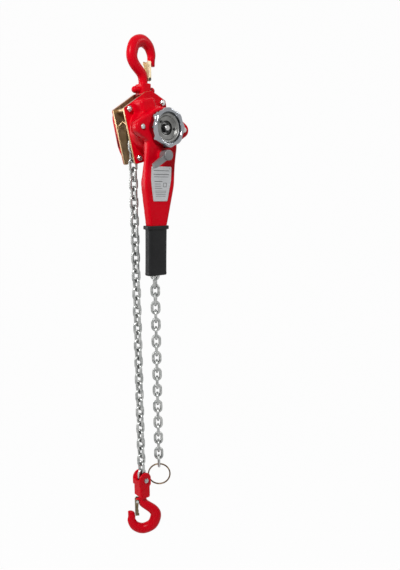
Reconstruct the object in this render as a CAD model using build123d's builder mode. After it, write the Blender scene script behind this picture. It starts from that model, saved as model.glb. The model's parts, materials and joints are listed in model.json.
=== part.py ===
from build123d import *
from math import atan2, cos, degrees, pi, radians, sin, sqrt, tan
import os

os.makedirs("parts", exist_ok=True)

# Lever chain hoist, 0.75 t class, hanging by its top hook. Millimetres, +Z up.
# The origin is the seat of the top hook, the point that a rail or a ring carries.
# X runs along the row of the two chain falls, and -Y is the lever side.

# ---------------------------------------------------------------- driving dimensions
hook_offset = 5.0  # swivel axis of the top hook, from the main shaft
body_tilt = 11.5  # the body hangs turned by this much
lever_tilt = -1.8  # the lever hangs nearly plumb
running_gap = 0.05  # radial play of a turning fit
loose_gap = 0.3  # room between parts that only pass each other

chain_wire = 5.9
chain_pitch = 18.0
link_width = 20.4
link_play = 0.15  # end play of one link in the next
sheave_pockets = 4
sheave_turn = 11.0  # how far the sheave stands turned towards the free fall
load_links = 40  # links of the load fall, sheave to hook
tail_links = 39  # links of the free fall, sheave to ring
links_at_sheave = 3  # links of each fall that still run inside the plates
tail_twist = 53.6  # turn of the free fall about its own length
twist_from = 4
twist_over = 16

plate_gap = 30.0
plate_thick = 4.0
flange_thick = 1.5  # cover flanges against the plates
stay_left = -35.5
stay_right = 43.0
stay_top = 45.0
stay_bottom = -44.5
plate_margin = 10.5  # plate edge outside the stay bolts
stay_rod_radius = 3.6
stay_end_radius = 3.0
top_pin_height = 58.0
top_pin_radius = 5.0
top_pin_edge = 12.0

shaft_radius = 7.0
thread_radius = 6.0
nut_thread_radius = 4.9
journal_radius = 12.0  # load sheave journals
sheave_half = 12.0
sheave_tip_radius = 25.2

gear_module = 1.4
pinion_teeth = 12
wheel_teeth = 30
pressure_angle = 25.0
tooth_play = 0.3  # backlash along the pitch circle
gear_width = 6.0
load_gear_width = 8.0

ratchet_teeth = 12
ratchet_thick = 6.0
lining_thick = 2.0
hub_flange_thick = 4.0
change_teeth = 12
change_tip_radius = 30.0
change_root_radius = 25.5

brake_cover_radius = 44.0
cover_wall = 2.5
pawl_room = 2.0  # inside of the brake cover to the pawls' hubs
pawl_hub_radius = 4.5
tooth_room = 3.5  # pawls' hubs to the tips of the ratchet teeth
lining_land = 3.5  # ratchet tooth tips to the edge of the linings
brake_cover_front = -47.0
tower_left = -25.0
tower_right = 10.0
tower_top = 57.5
gear_cover_depth = 39.0
gear_cover_radius = 26.5

lever_back = -50.5
lever_hub_front = -68.0
lever_hub_radius = 38.5
ear_offset = 48.0
ear_radius = 13.5
neck_top_half = 34.0
neck_knee = 103.0
neck_end_half = 19.5
neck_end = 181.0
lever_wall = 2.6
back_plate_thick = 2.5
grip_top = 178.0
grip_bottom = 274.0
grip_half_width = 21.3
grip_back = -36.0
grip_front = -55.0
selector_height = 48.5
selector_radius = 9.6
selector_shaft_radius = 4.0
ear_screw_radius = 3.0

wheel_back = -69.0
wheel_front = -87.0
wheel_radius = 35.5
wheel_lobes = 8
sleeve_flats = 20.0  # across the flats of the hand wheel's driving hexagon

hook_bowl_radius = 16.5
hook_shank_radius = 8.75
seat_to_yoke = 66.5  # hook seat to the face of its yoke
yoke_pin_drop = 27.3  # face of the top yoke down to the pin that carries the body
hook_yaw = 10.0
load_hook_yaw = 150.0
yoke_half_x = 11.0
yoke_half_y = 13.3
fork_half_y = 13.5
ring_radius = 23.5
ring_wire_radius = 1.6

# ---------------------------------------------------------------- worked out from them
top_pin_rise = hook_offset * tan(radians(body_tilt)) + top_pin_height / cos(radians(body_tilt))
seat_to_axis = seat_to_yoke + yoke_pin_drop + top_pin_rise
main_x = -hook_offset
main_z = -seat_to_axis
plate_inner = plate_gap / 2
plate_outer = plate_inner + plate_thick
flange_outer = plate_outer + flange_thick
link_half = (chain_pitch + chain_wire + link_play) / 2
link_bend = (link_width - chain_wire) / 2
standing_reach = link_half - link_bend
flat_reach = chain_pitch - standing_reach
pocket_angle = 180 / sheave_pockets
flat_angle = degrees(
    atan2(sin(radians(pocket_angle)), standing_reach / flat_reach + cos(radians(pocket_angle)))
)
standing_angle = pocket_angle - flat_angle
joint_radius = flat_reach / sin(radians(flat_angle))
flat_radius = joint_radius * cos(radians(flat_angle))
standing_radius = joint_radius * cos(radians(standing_angle))
fall_offset = joint_radius * cos(radians(sheave_turn))
fall_rise = joint_radius * sin(radians(sheave_turn))
load_x = main_x - fall_offset
tail_x = main_x + fall_offset
gear_centres = gear_module * (pinion_teeth + wheel_teeth) / 2
pawl_pivot_radius = brake_cover_radius - cover_wall - pawl_room - pawl_hub_radius
ratchet_radius = pawl_pivot_radius - pawl_hub_radius - tooth_room
brake_radius = ratchet_radius - lining_land


def front(depth, tilt=0.0):
    # Plane square to the main shaft, seen from the lever side, turned about the shaft.
    turn = radians(tilt)
    return Plane(
        origin=(main_x, depth, main_z),
        x_dir=(cos(turn), 0, sin(turn)),
        z_dir=(0, -1, 0),
    )


def body(depth):
    return front(depth, body_tilt)


def lever(depth):
    return front(depth, lever_tilt)


def polar(radius, angle):
    return (radius * cos(radians(angle)), radius * sin(radians(angle)))


def hang(x, z):
    # A point of the tilted body, as X and Z of the hoist.
    turn = radians(body_tilt)
    return (main_x + x * cos(turn) - z * sin(turn), main_z + x * sin(turn) + z * cos(turn))


# The top pin lies straight under the swivel axis of the top hook.
top_pin_shift = (hook_offset + top_pin_height * sin(radians(body_tilt))) / cos(radians(body_tilt))
top_pin_at = (top_pin_shift, top_pin_height)
top_pin_z = hang(*top_pin_at)[1]
stays_at = [(stay_left, stay_top), (stay_right, stay_top), (stay_right, stay_bottom)]
stud_at = (stay_left + 1.5, stay_bottom)
# The chain guide stay stands just inside the load fall.
guide_hang_x = -fall_offset + link_width / 2 + loose_gap + stay_rod_radius
guide_at = (
    (guide_hang_x + stay_bottom * sin(radians(body_tilt))) / cos(radians(body_tilt)),
    stay_bottom,
)

# ---------------------------------------------------------------- side plates
plate_left = stay_left - plate_margin
plate_right = stay_right + plate_margin
plate_low = stay_bottom - plate_margin
plate_corner = 4.0
plate_outline = [
    (plate_left + 2.5, plate_low),
    (plate_left, stay_top + 3.5),
    (top_pin_at[0] - 7.0, top_pin_height + top_pin_edge),
    (top_pin_at[0] + 8.0, top_pin_height + top_pin_edge),
    (plate_right, stay_top + 3.0),
    (plate_right, plate_low + 2.0),
]

with BuildSketch() as plate_face:
    Polygon(*plate_outline, align=None)
    fillet(plate_face.vertices(), plate_corner)

for side, back in (("front", -plate_inner), ("back", plate_outer)):
    with BuildPart() as side_plate:
        with BuildSketch(body(back)):
            add(plate_face.sketch)
            Circle(journal_radius + 3.5, mode=Mode.SUBTRACT)
            with Locations(*stays_at, stud_at, guide_at):
                Circle(stay_end_radius + running_gap, mode=Mode.SUBTRACT)
            with Locations(top_pin_at):
                Circle(top_pin_radius + running_gap, mode=Mode.SUBTRACT)
            if side == "back":
                with Locations((0, gear_centres), (0, -gear_centres)):
                    Circle(4.0 + running_gap, mode=Mode.SUBTRACT)
        extrude(amount=plate_thick)
    side_plate.part.label = f"{side}_side_plate"
    export_step(side_plate.part, f"parts/{side}_side_plate.step")

# ---------------------------------------------------------------- stays, studs and nuts
nut_flats = 10.0
nut_height = 5.0
thread_out = 2.0
stay_reach = flange_outer + nut_height + thread_out
with BuildPart() as stay_rods:
    with BuildSketch(body(plate_inner)):
        with Locations(*stays_at):
            Circle(stay_rod_radius)
    extrude(amount=plate_gap)
    with BuildSketch(body(stay_reach)):
        with Locations(*stays_at):
            Circle(stay_end_radius)
    extrude(amount=2 * stay_reach)
    for start in (stay_reach, -plate_inner):
        with BuildSketch(body(start)):
            with Locations(stud_at):
                Circle(stay_end_radius)
        extrude(amount=stay_reach - plate_inner)
    chamfer(stay_rods.edges().group_by(Axis.Y)[0] + stay_rods.edges().group_by(Axis.Y)[-1], 0.5)
stay_rods.part.label = "stay_rods"
export_step(stay_rods.part, "parts/stay_rods.step")

with BuildPart() as guide_roller:
    with BuildSketch(body(plate_inner - 0.1)):
        with Locations(guide_at):
            Circle(stay_rod_radius)
    extrude(amount=plate_gap - 0.2)
    with BuildSketch(body(plate_outer - 0.1)):
        with Locations(guide_at):
            Circle(stay_end_radius)
    extrude(amount=2 * plate_outer - 0.2)
guide_roller.part.label = "guide_roller"
export_step(guide_roller.part, "parts/guide_roller.step")

with BuildPart() as stay_nuts:
    for start in (flange_outer + nut_height, -flange_outer):
        with BuildSketch(body(start)):
            with Locations(*stays_at, stud_at):
                RegularPolygon(nut_flats / 2, 6, major_radius=False)
                Circle(stay_end_radius, mode=Mode.SUBTRACT)
        extrude(amount=nut_height)
    outer_faces = stay_nuts.faces().filter_by(Axis.Y).group_by(Axis.Y)
    corners = (outer_faces[0] + outer_faces[-1]).edges().filter_by(GeomType.LINE)
    chamfer(corners, 0.6)
stay_nuts.part.label = "stay_nuts"
export_step(stay_nuts.part, "parts/stay_nuts.step")

# ---------------------------------------------------------------- load sheave and its bearings
sheave_bore = shaft_radius + running_gap
load_seat_radius = 11.0
load_gear_back = flange_outer + load_gear_width
groove_half = (chain_wire + 1.0) / 2
groove_floor = standing_radius - link_width / 2 - 0.4
pocket_floor = flat_radius - chain_wire / 2 - 0.3
with BuildPart() as load_sheave:
    with BuildSketch(front(sheave_half)):
        Circle(sheave_tip_radius)
    extrude(amount=2 * sheave_half)
    with BuildSketch(front(groove_half)):
        Circle(sheave_tip_radius + 1)
        Circle(groove_floor, mode=Mode.SUBTRACT)
    extrude(amount=2 * groove_half, mode=Mode.SUBTRACT)
    for pocket in range(sheave_pockets):
        middle = flat_angle - sheave_turn + pocket * 2 * pocket_angle
        outward = Vector(cos(radians(middle)), 0, sin(radians(middle)))
        floor = Plane(
            origin=Vector(main_x, 0, main_z) + outward * pocket_floor,
            x_dir=(0, 1, 0),
            z_dir=outward,
        )
        with BuildSketch(floor):
            SlotOverall(2 * link_half + chain_wire + 1.0, link_width + 1.0, rotation=90)
        extrude(amount=sheave_tip_radius, mode=Mode.SUBTRACT)
    with BuildSketch(front(plate_outer)):
        Circle(journal_radius)
    extrude(amount=2 * plate_outer)
    with BuildSketch(front(load_gear_back)):
        Circle(load_seat_radius)
    extrude(amount=load_gear_back)
    with BuildSketch(front(load_gear_back)):
        Circle(sheave_bore)
    extrude(amount=load_gear_back + plate_outer, mode=Mode.SUBTRACT)
load_sheave.part.label = "load_sheave"
export_step(load_sheave.part, "parts/load_sheave.step")

bush_play = 0.02
with BuildPart() as sheave_bushes:
    for start in (plate_outer, -plate_inner):
        with BuildSketch(front(start)):
            Circle(journal_radius + 3.5 - bush_play)
            Circle(journal_radius + running_gap, mode=Mode.SUBTRACT)
        extrude(amount=plate_thick)
sheave_bushes.part.label = "sheave_bushes"
export_step(sheave_bushes.part, "parts/sheave_bushes.step")


# ---------------------------------------------------------------- gears
def gear_face(teeth, tip_scale=0.9, root_scale=1.15):
    # Involute spur gear with a tooth pointing along +X, as a sketch on the XY plane.
    pitch = gear_module * teeth / 2
    base = pitch * cos(radians(pressure_angle))
    tip = pitch + tip_scale * gear_module
    root = pitch - root_scale * gear_module
    start = max(base, root)
    half_tooth = pi / (2 * teeth) - tooth_play / (2 * pitch)
    spread = tan(radians(pressure_angle)) - radians(pressure_angle)

    def flank(radius):
        roll = sqrt(max((radius / base) ** 2 - 1, 0))
        return half_tooth + spread - (roll - atan2(roll, 1))

    def at(radius, angle):
        return (radius * cos(angle), radius * sin(angle))

    radii = [start + (tip - start) * step / 4 for step in range(5)]
    with BuildSketch() as face:
        with BuildLine():
            for tooth in range(teeth):
                middle = 2 * pi * tooth / teeth
                after = middle + 2 * pi / teeth
                Spline(*[at(r, middle - flank(r)) for r in radii])
                ThreePointArc(
                    at(tip, middle - flank(tip)), at(tip, middle), at(tip, middle + flank(tip))
                )
                Spline(*[at(r, middle + flank(r)) for r in reversed(radii)])
                if start > root:
                    Line(at(start, middle + flank(start)), at(root, middle + flank(start)))
                    Line(at(root, after - flank(start)), at(start, after - flank(start)))
                ThreePointArc(
                    at(root, middle + flank(start)),
                    at(root, (middle + after) / 2),
                    at(root, after - flank(start)),
                )
        make_face()
    return face.sketch


pinion_face = gear_face(pinion_teeth)
wheel_face = gear_face(wheel_teeth)
gear_side_gap = 1.0
load_gear_front = plate_outer + 0.5
wheel_front_y = load_gear_back + gear_side_gap + 0.5
wheel_back_y = wheel_front_y + gear_width
gear_journal_radius = 4.0
gear_journal_end = gear_journal_radius + wheel_back_y + 6.0

with BuildPart() as load_gear:
    with BuildSketch(body(load_gear_back)):
        add(wheel_face)
        Circle(load_seat_radius + bush_play, mode=Mode.SUBTRACT)
    extrude(amount=load_gear_back - load_gear_front)
load_gear.part.label = "load_gear"
export_step(load_gear.part, "parts/load_gear.step")

for place, height in (("upper", gear_centres), ("lower", -gear_centres)):
    with BuildPart() as disc_gear:
        with BuildSketch(body(wheel_front_y)):
            with Locations((0, height)):
                add(pinion_face)
        extrude(amount=wheel_front_y - load_gear_front)
        with BuildSketch(body(wheel_back_y)):
            with Locations((0, height)):
                add(wheel_face)
        extrude(amount=gear_width)
        with BuildSketch(body(gear_journal_end)):
            with Locations((0, height)):
                Circle(gear_journal_radius)
        extrude(amount=gear_journal_end - plate_inner - 0.5)
    disc_gear.part.label = f"disc_gear_{place}"
    export_step(disc_gear.part, f"parts/disc_gear_{place}.step")

# ---------------------------------------------------------------- main shaft and load brake
brake_start = -(plate_outer + 1.0)
hub_face = brake_start - hub_flange_thick
ratchet_back = hub_face - lining_thick
ratchet_front = ratchet_back - ratchet_thick
change_back = ratchet_front - lining_thick
change_flange_front = change_back - hub_flange_thick
feed_back = lever_back - back_plate_thick
feed_front = feed_back - 8.0
sleeve_end = wheel_back - 1.0
shaft_front = -79.0
castle_back = sleeve_end - 0.2
castle_front = castle_back - 7.5
pin_depth = castle_front + 1.3
cotter_radius = 0.8
hub_sleeve_radius = 11.0
change_neck_radius = 19.0
thread_start = -(plate_outer + 0.6)

with BuildPart() as pinion_shaft:
    with BuildSketch(body(wheel_back_y)):
        add(pinion_face)
    extrude(amount=gear_width + 0.5)
    with BuildSketch(front(gear_journal_end)):
        Circle(gear_journal_radius)
    extrude(amount=gear_journal_end - wheel_back_y)
    with BuildSketch(front(wheel_front_y)):
        Circle(shaft_radius - 0.4)
    extrude(amount=1.0)
    with BuildSketch(front(wheel_front_y - 0.5)):
        Circle(shaft_radius)
    extrude(amount=wheel_front_y - 0.5 - thread_start)
    with BuildSketch(front(thread_start)):
        Circle(thread_radius)
    extrude(amount=thread_start - sleeve_end)
    with BuildSketch(front(sleeve_end)):
        Circle(nut_thread_radius)
    extrude(amount=sleeve_end - shaft_front)
    chamfer(pinion_shaft.edges().group_by(Axis.Y)[0], 0.6)
    chamfer(pinion_shaft.edges().group_by(Axis.Y)[-1], 0.6)
    with BuildSketch(Plane(origin=(main_x, pin_depth, main_z), z_dir=(0, 0, 1))):
        Circle(cotter_radius + running_gap)
    extrude(amount=nut_thread_radius + 1, both=True, mode=Mode.SUBTRACT)
pinion_shaft.part.label = "pinion_shaft"
export_step(pinion_shaft.part, "parts/pinion_shaft.step")

thread_bore = thread_radius + running_gap
with BuildPart() as friction_hub:
    with BuildSketch(front(brake_start)):
        Circle(brake_radius)
    extrude(amount=hub_flange_thick)
    with BuildSketch(front(hub_face)):
        Circle(hub_sleeve_radius)
    extrude(amount=hub_face - change_back - 0.2)
    with BuildSketch(front(brake_start)):
        Circle(thread_bore)
    extrude(amount=brake_start - change_back, mode=Mode.SUBTRACT)
friction_hub.part.label = "friction_hub"
export_step(friction_hub.part, "parts/friction_hub.step")

for place, start in (("rear", hub_face), ("front", ratchet_front)):
    with BuildPart() as lining:
        with BuildSketch(front(start)):
            Circle(brake_radius - 0.5)
            Circle(hub_sleeve_radius + loose_gap, mode=Mode.SUBTRACT)
        extrude(amount=lining_thick)
    lining.part.label = f"brake_lining_{place}"
    export_step(lining.part, f"parts/brake_lining_{place}.step")

ratchet_depth = 3.0
with BuildPart() as ratchet_disc:
    with BuildSketch(front(ratchet_back)):
        Circle(ratchet_radius)
        Circle(hub_sleeve_radius + running_gap, mode=Mode.SUBTRACT)
        step = 360 / ratchet_teeth
        for tooth in range(ratchet_teeth):
            with BuildLine():
                Polyline(
                    polar(ratchet_radius + 2, tooth * step),
                    polar(ratchet_radius - ratchet_depth, tooth * step),
                    polar(ratchet_radius + 0.5, (tooth + 0.8) * step),
                    polar(ratchet_radius + 2, (tooth + 0.4) * step),
                    close=True,
                )
            make_face(mode=Mode.SUBTRACT)
    extrude(amount=ratchet_thick)
ratchet_disc.part.label = "ratchet_disc"
export_step(ratchet_disc.part, "parts/ratchet_disc.step")

with BuildPart() as change_gear:
    with BuildSketch(front(change_back)):
        Circle(brake_radius)
    extrude(amount=hub_flange_thick)
    with BuildSketch(front(change_flange_front)):
        Circle(change_neck_radius)
    extrude(amount=change_flange_front - feed_back)
    with BuildSketch(lever(feed_back)):
        Circle(change_tip_radius)
        valley = 360 / change_teeth
        for gap in range(change_teeth):
            with BuildLine():
                Polyline(
                    polar(change_tip_radius + 2, gap * valley - 9.5),
                    polar(change_root_radius, gap * valley - 7.5),
                    polar(change_root_radius, gap * valley + 7.5),
                    polar(change_tip_radius + 2, gap * valley + 9.5),
                    close=True,
                )
            make_face(mode=Mode.SUBTRACT)
    extrude(amount=feed_back - feed_front)
    with BuildSketch(front(feed_front)):
        RegularPolygon(sleeve_flats / 2, 6, major_radius=False)
    extrude(amount=feed_front - sleeve_end)
    with BuildSketch(front(change_back)):
        Circle(thread_bore)
    extrude(amount=change_back - sleeve_end, mode=Mode.SUBTRACT)
change_gear.part.label = "change_gear"
export_step(change_gear.part, "parts/change_gear.step")

# Brake pawls, opposite each other, with their noses just clear of the tooth tips.
pawl_nose_radius = 1.5
pawl_pin_radius = 2.5
pawl_lead = 30.0
pawl_angles = {"upper": 118.0, "lower": 298.0}
pawl_back = ratchet_back + 0.5
pawl_front = ratchet_front - 0.5
for place, angle in pawl_angles.items():
    with BuildPart() as brake_pawl:
        with BuildSketch(body(pawl_back)):
            with Locations(polar(pawl_pivot_radius, angle)):
                Circle(pawl_hub_radius)
            with Locations(polar(ratchet_radius + pawl_nose_radius + loose_gap, angle - pawl_lead)):
                Circle(pawl_nose_radius)
            make_hull()
            with Locations(polar(pawl_pivot_radius, angle)):
                Circle(pawl_pin_radius + running_gap, mode=Mode.SUBTRACT)
        extrude(amount=pawl_back - pawl_front)
    brake_pawl.part.label = f"brake_pawl_{place}"
    export_step(brake_pawl.part, f"parts/brake_pawl_{place}.step")

pawl_pin_front = pawl_front - 5.0
with BuildPart() as pawl_pins:
    with BuildSketch(body(-plate_outer)):
        with Locations(*[polar(pawl_pivot_radius, angle) for angle in pawl_angles.values()]):
            Circle(pawl_pin_radius)
    extrude(amount=-plate_outer - pawl_pin_front)
    with BuildSketch(body(-plate_outer)):
        with Locations(*[polar(pawl_pivot_radius, angle) for angle in pawl_angles.values()]):
            Circle(pawl_hub_radius)
    extrude(amount=-plate_outer - pawl_back - 0.1)
pawl_pins.part.label = "pawl_pins"
export_step(pawl_pins.part, "parts/pawl_pins.step")

spring_wire = 0.8
with BuildPart() as pawl_springs:
    for angle in pawl_angles.values():
        x, z = hang(*polar(pawl_pivot_radius, angle))
        spring_start = (x, pawl_front - 0.6, z)
        with BuildLine() as turns:
            Helix(1.1, 3.3, pawl_pin_radius + 0.6, center=spring_start, direction=(0, -1, 0))
        with BuildSketch(Plane(origin=turns.line @ 0, z_dir=turns.line % 0)):
            Circle(spring_wire / 2)
        sweep(path=turns.line)
pawl_springs.part.label = "pawl_springs"
export_step(pawl_springs.part, "parts/pawl_springs.step")

# ---------------------------------------------------------------- covers
def side(tilt=0.0):
    # Plane along the main shaft, seen from +X: its x runs back along Y, its y up.
    turn = radians(tilt)
    return Plane(
        origin=(main_x, 0, main_z), x_dir=(0, 1, 0), z_dir=(cos(turn), 0, sin(turn))
    )


gear_cover_back = plate_outer + gear_cover_depth
gear_cover_reach = gear_centres + wheel_face.bounding_box().max.X + 1.2 + cover_wall
bush_radius = gear_journal_radius + 2.0
boss_radius = bush_radius + 2.5
boss_start = wheel_back_y + 1.0
with BuildPart() as gear_dome:
    with BuildSketch(body(gear_cover_back)):
        SlotOverall(2 * gear_cover_reach, 2 * gear_cover_radius, rotation=90)
    extrude(amount=gear_cover_depth)
    with BuildSketch(side(body_tilt)):
        with BuildLine():
            Polyline(
                (gear_cover_back + 1, -gear_cover_reach + 36),
                (gear_cover_back, -gear_cover_reach + 35),
                (gear_cover_back - 10, -gear_cover_reach),
                (gear_cover_back - 10, -gear_cover_reach - 1),
                (gear_cover_back + 1, -gear_cover_reach - 1),
                close=True,
            )
        make_face()
    extrude(amount=gear_cover_radius + 1, both=True, mode=Mode.SUBTRACT)
    fillet(gear_dome.edges().filter_by(lambda e: e.center().Y > gear_cover_back - 11), 7.0)
    open_face = gear_dome.faces().filter_by(Axis.Y).sort_by(Axis.Y)[0]
    offset(amount=-cover_wall, openings=open_face)

with BuildPart() as gear_cover:
    with BuildSketch(body(flange_outer)):
        add(plate_face.sketch)
        SlotOverall(
            2 * (gear_cover_reach - cover_wall),
            2 * (gear_cover_radius - cover_wall),
            rotation=90,
            mode=Mode.SUBTRACT,
        )
        with Locations(*stays_at, stud_at):
            Circle(stay_end_radius + 0.1, mode=Mode.SUBTRACT)
    extrude(amount=flange_thick)
    add(gear_dome.part)
    for height, end in ((gear_centres, 0), (0, 0), (-gear_centres, 4.0)):
        with BuildSketch(body(gear_cover_back - cover_wall + 0.5 - end)):
            with Locations((0, height)):
                Circle(boss_radius)
        extrude(amount=gear_cover_back - cover_wall + 0.5 - end - boss_start)
        with BuildSketch(body(gear_journal_end + 1.0)):
            with Locations((0, height)):
                Circle(bush_radius)
        extrude(amount=gear_journal_end + 1.0 - boss_start, mode=Mode.SUBTRACT)
gear_cover.part.label = "gear_cover"
export_step(gear_cover.part, "parts/gear_cover.step")

with BuildPart() as gear_bushes:
    with BuildSketch(body(gear_journal_end)):
        with Locations((0, gear_centres), (0, 0), (0, -gear_centres)):
            Circle(bush_radius - bush_play)
            Circle(gear_journal_radius + running_gap, mode=Mode.SUBTRACT)
    extrude(amount=gear_journal_end - boss_start)
gear_bushes.part.label = "gear_bushes"
export_step(gear_bushes.part, "parts/gear_bushes.step")

brake_opening = change_neck_radius + 1.0
collar_radius = brake_opening + 3.5
tower_corner = 8.0
with BuildPart() as brake_dome:
    with BuildSketch(body(-plate_outer)):
        Circle(brake_cover_radius)
        with BuildLine():
            FilletPolyline(
                (tower_left, 0),
                (tower_left, tower_top),
                (tower_right, tower_top),
                (tower_right, 0),
                radius=tower_corner,
            )
            Line((tower_right, 0), (tower_left, 0))
        make_face()
    extrude(amount=-plate_outer - brake_cover_front)
    fillet(brake_dome.faces().sort_by(Axis.Y)[0].edges(), 6.0)
    open_face = brake_dome.faces().sort_by(Axis.Y)[-1]
    offset(amount=-cover_wall, openings=open_face)

with BuildPart() as brake_cover:
    with BuildSketch(body(-plate_outer)):
        add(plate_face.sketch)
        with Locations(*stays_at, stud_at):
            Circle(stay_end_radius + 0.1, mode=Mode.SUBTRACT)
    extrude(amount=flange_thick)
    with BuildSketch(body(-plate_outer)):
        Circle(brake_cover_radius - cover_wall)
        with Locations(((tower_left + tower_right) / 2, tower_top / 2)):
            Rectangle(tower_right - tower_left - 2 * cover_wall - 4, tower_top - 2 * cover_wall - 4)
    extrude(amount=flange_thick, mode=Mode.SUBTRACT)
    add(brake_dome.part)
    with BuildSketch(front(brake_cover_front)):
        Circle(collar_radius)
    extrude(amount=brake_cover_front - lever_back - 0.3)
    with BuildSketch(front(brake_cover_front + cover_wall + 1)):
        Circle(brake_opening)
    extrude(amount=cover_wall + 1 + brake_cover_front - lever_back, mode=Mode.SUBTRACT)
brake_cover.part.label = "brake_cover"
export_step(brake_cover.part, "parts/brake_cover.step")

# ---------------------------------------------------------------- lever
with BuildSketch() as hub_outline:
    Circle(lever_hub_radius)
    with Locations((ear_offset, 0), (-ear_offset, 0)):
        Circle(ear_radius)
    make_hull()

with BuildSketch() as neck_outline:
    Polygon(
        (-neck_top_half, -12),
        (-neck_top_half, -neck_knee),
        (-neck_end_half, -neck_end),
        (neck_end_half, -neck_end),
        (neck_top_half, -neck_knee),
        (neck_top_half, -12),
        align=None,
    )
    fillet(neck_outline.vertices().sort_by(lambda v: abs(v.Y + neck_knee))[:2], 70)

neck_front = [(-66.0, -34.0), (-61.0, -66.0), (-55.5, -neck_end)]
neck_back = [(-37.5, -neck_end), (-41.5, -96.0), (lever_back, -58.0), (lever_back, -10.0)]


def neck_sides(inset):
    with BuildSketch(side(lever_tilt)) as sides:
        with BuildLine():
            Polyline(
                (neck_front[0][0] + inset, -10.0),
                *[(y + inset, z) for y, z in neck_front],
                *neck_back[: 1 if inset else None],
                *([(neck_back[0][0] + 5, -10.0)] if inset else []),
                close=True,
            )
        make_face()
    return sides.sketch


neck_profile = neck_sides(0)
cavity_profile = neck_sides(lever_wall)
with BuildPart() as lever_neck:
    with BuildSketch(lever(-30)):
        add(neck_outline.sketch)
    extrude(amount=45)
    extrude(neck_profile, amount=60, both=True, mode=Mode.INTERSECT)
    rims = lever_neck.edges().filter_by(lambda e: e.center().Y < neck_front[-1][0])
    rims = rims.filter_by(lambda e: abs(e.tangent_at(0.5).X) < 0.9)
    fillet(rims.filter_by(lambda e: abs(e.tangent_at(0.5).Y) < 0.5), 3.0)

with BuildPart() as neck_cavity:
    with BuildSketch(lever(-30)):
        add(neck_outline.sketch)
        offset(amount=-lever_wall)
    extrude(amount=45)
    extrude(cavity_profile, amount=60, both=True, mode=Mode.INTERSECT)


def across_lever(height, tilt=lever_tilt):
    # Plane across the lever at a height on its axis, its z down the lever, its y to the front.
    turn = radians(tilt)
    return Plane(
        origin=(main_x - height * sin(turn), 0, main_z + height * cos(turn)),
        x_dir=(cos(turn), 0, sin(turn)),
        z_dir=(sin(turn), 0, -cos(turn)),
    )


grip_middle = -(grip_back + grip_front) / 2
grip_thick = grip_back - grip_front
grip_wall = 2.6
tang_width = 2 * (neck_end_half - lever_wall - 0.2)
tang_thick = grip_thick - 2 * grip_wall - 0.6
tang_end = grip_bottom - 6.0
tang_overlap = 12.0
feed_pawl_back = feed_back - 0.5
feed_pawl_front = feed_pawl_back - 4.0
plunger_radius = 2.2
plunger_drop = 9.7  # tip of the plunger under the selector's axis
plunger_long = 9.0
plunger_y = (feed_pawl_back + feed_pawl_front) / 2
plunger_guide_half = 4.0
plunger_guide_drop = 13.0

lever_opening = 17.5
selector_boss_radius = 12.0
selector_boss_back = -60.0
selector_boss_front = -67.0


def on_boss_rim(edge):
    at_front = abs(edge.center().Y - selector_boss_front) < 0.01
    return at_front and abs(edge.radius - selector_boss_radius) < 0.01


hub_inner_front = lever_hub_front + lever_wall + 0.4
with BuildPart() as lever_shell:
    with BuildSketch(lever(lever_back)):
        add(hub_outline.sketch)
    extrude(amount=lever_back - lever_hub_front)
    fillet(lever_shell.faces().sort_by(Axis.Y)[0].edges(), 4.0)
    add(lever_neck.part)
    add(neck_cavity.part, mode=Mode.SUBTRACT)
    with BuildSketch(lever(lever_back)):
        Circle(lever_hub_radius - 3.5)
    extrude(amount=lever_back - hub_inner_front, mode=Mode.SUBTRACT)
    with BuildSketch(lever(selector_boss_back)):
        with Locations((0, -selector_height)):
            Circle(selector_boss_radius)
    extrude(amount=selector_boss_back - selector_boss_front)
    fillet(lever_shell.edges().filter_by(GeomType.CIRCLE).filter_by(on_boss_rim), 1.0)
    with BuildSketch(lever(lever_back)):
        Circle(lever_opening)
        with Locations((0, -selector_height)):
            Circle(selector_shaft_radius + running_gap)
        with Locations((ear_offset, 0), (-ear_offset, 0)):
            Circle(ear_screw_radius)
    extrude(amount=30, mode=Mode.SUBTRACT)
    with BuildSketch(across_lever(-selector_height - plunger_guide_drop)):
        with Locations((0, -plunger_y + 1.0)):
            Rectangle(2 * plunger_guide_half, 2 * plunger_guide_half)
    extrude(amount=plunger_long - 3.0)
    with BuildSketch(across_lever(-selector_height - plunger_guide_drop)):
        with Locations((0, -plunger_y)):
            Circle(plunger_radius + running_gap)
    extrude(amount=plunger_long - 3.0, mode=Mode.SUBTRACT)
    with BuildSketch(across_lever(-neck_end + tang_overlap)):
        with Locations((0, grip_middle)):
            RectangleRounded(tang_width + 0.1, tang_thick + 0.1, 4.0)
    extrude(amount=tang_overlap + 2.0, mode=Mode.SUBTRACT)
lever_shell.part.label = "lever_shell"
export_step(lever_shell.part, "parts/lever_shell.step")


with BuildPart() as lever_tang:
    with BuildSketch(across_lever(-neck_end + tang_overlap)):
        with Locations((0, grip_middle)):
            RectangleRounded(tang_width, tang_thick, 4.0)
    extrude(amount=tang_end - neck_end + tang_overlap)
lever_tang.part.label = "lever_tang"
export_step(lever_tang.part, "parts/lever_tang.step")

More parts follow.
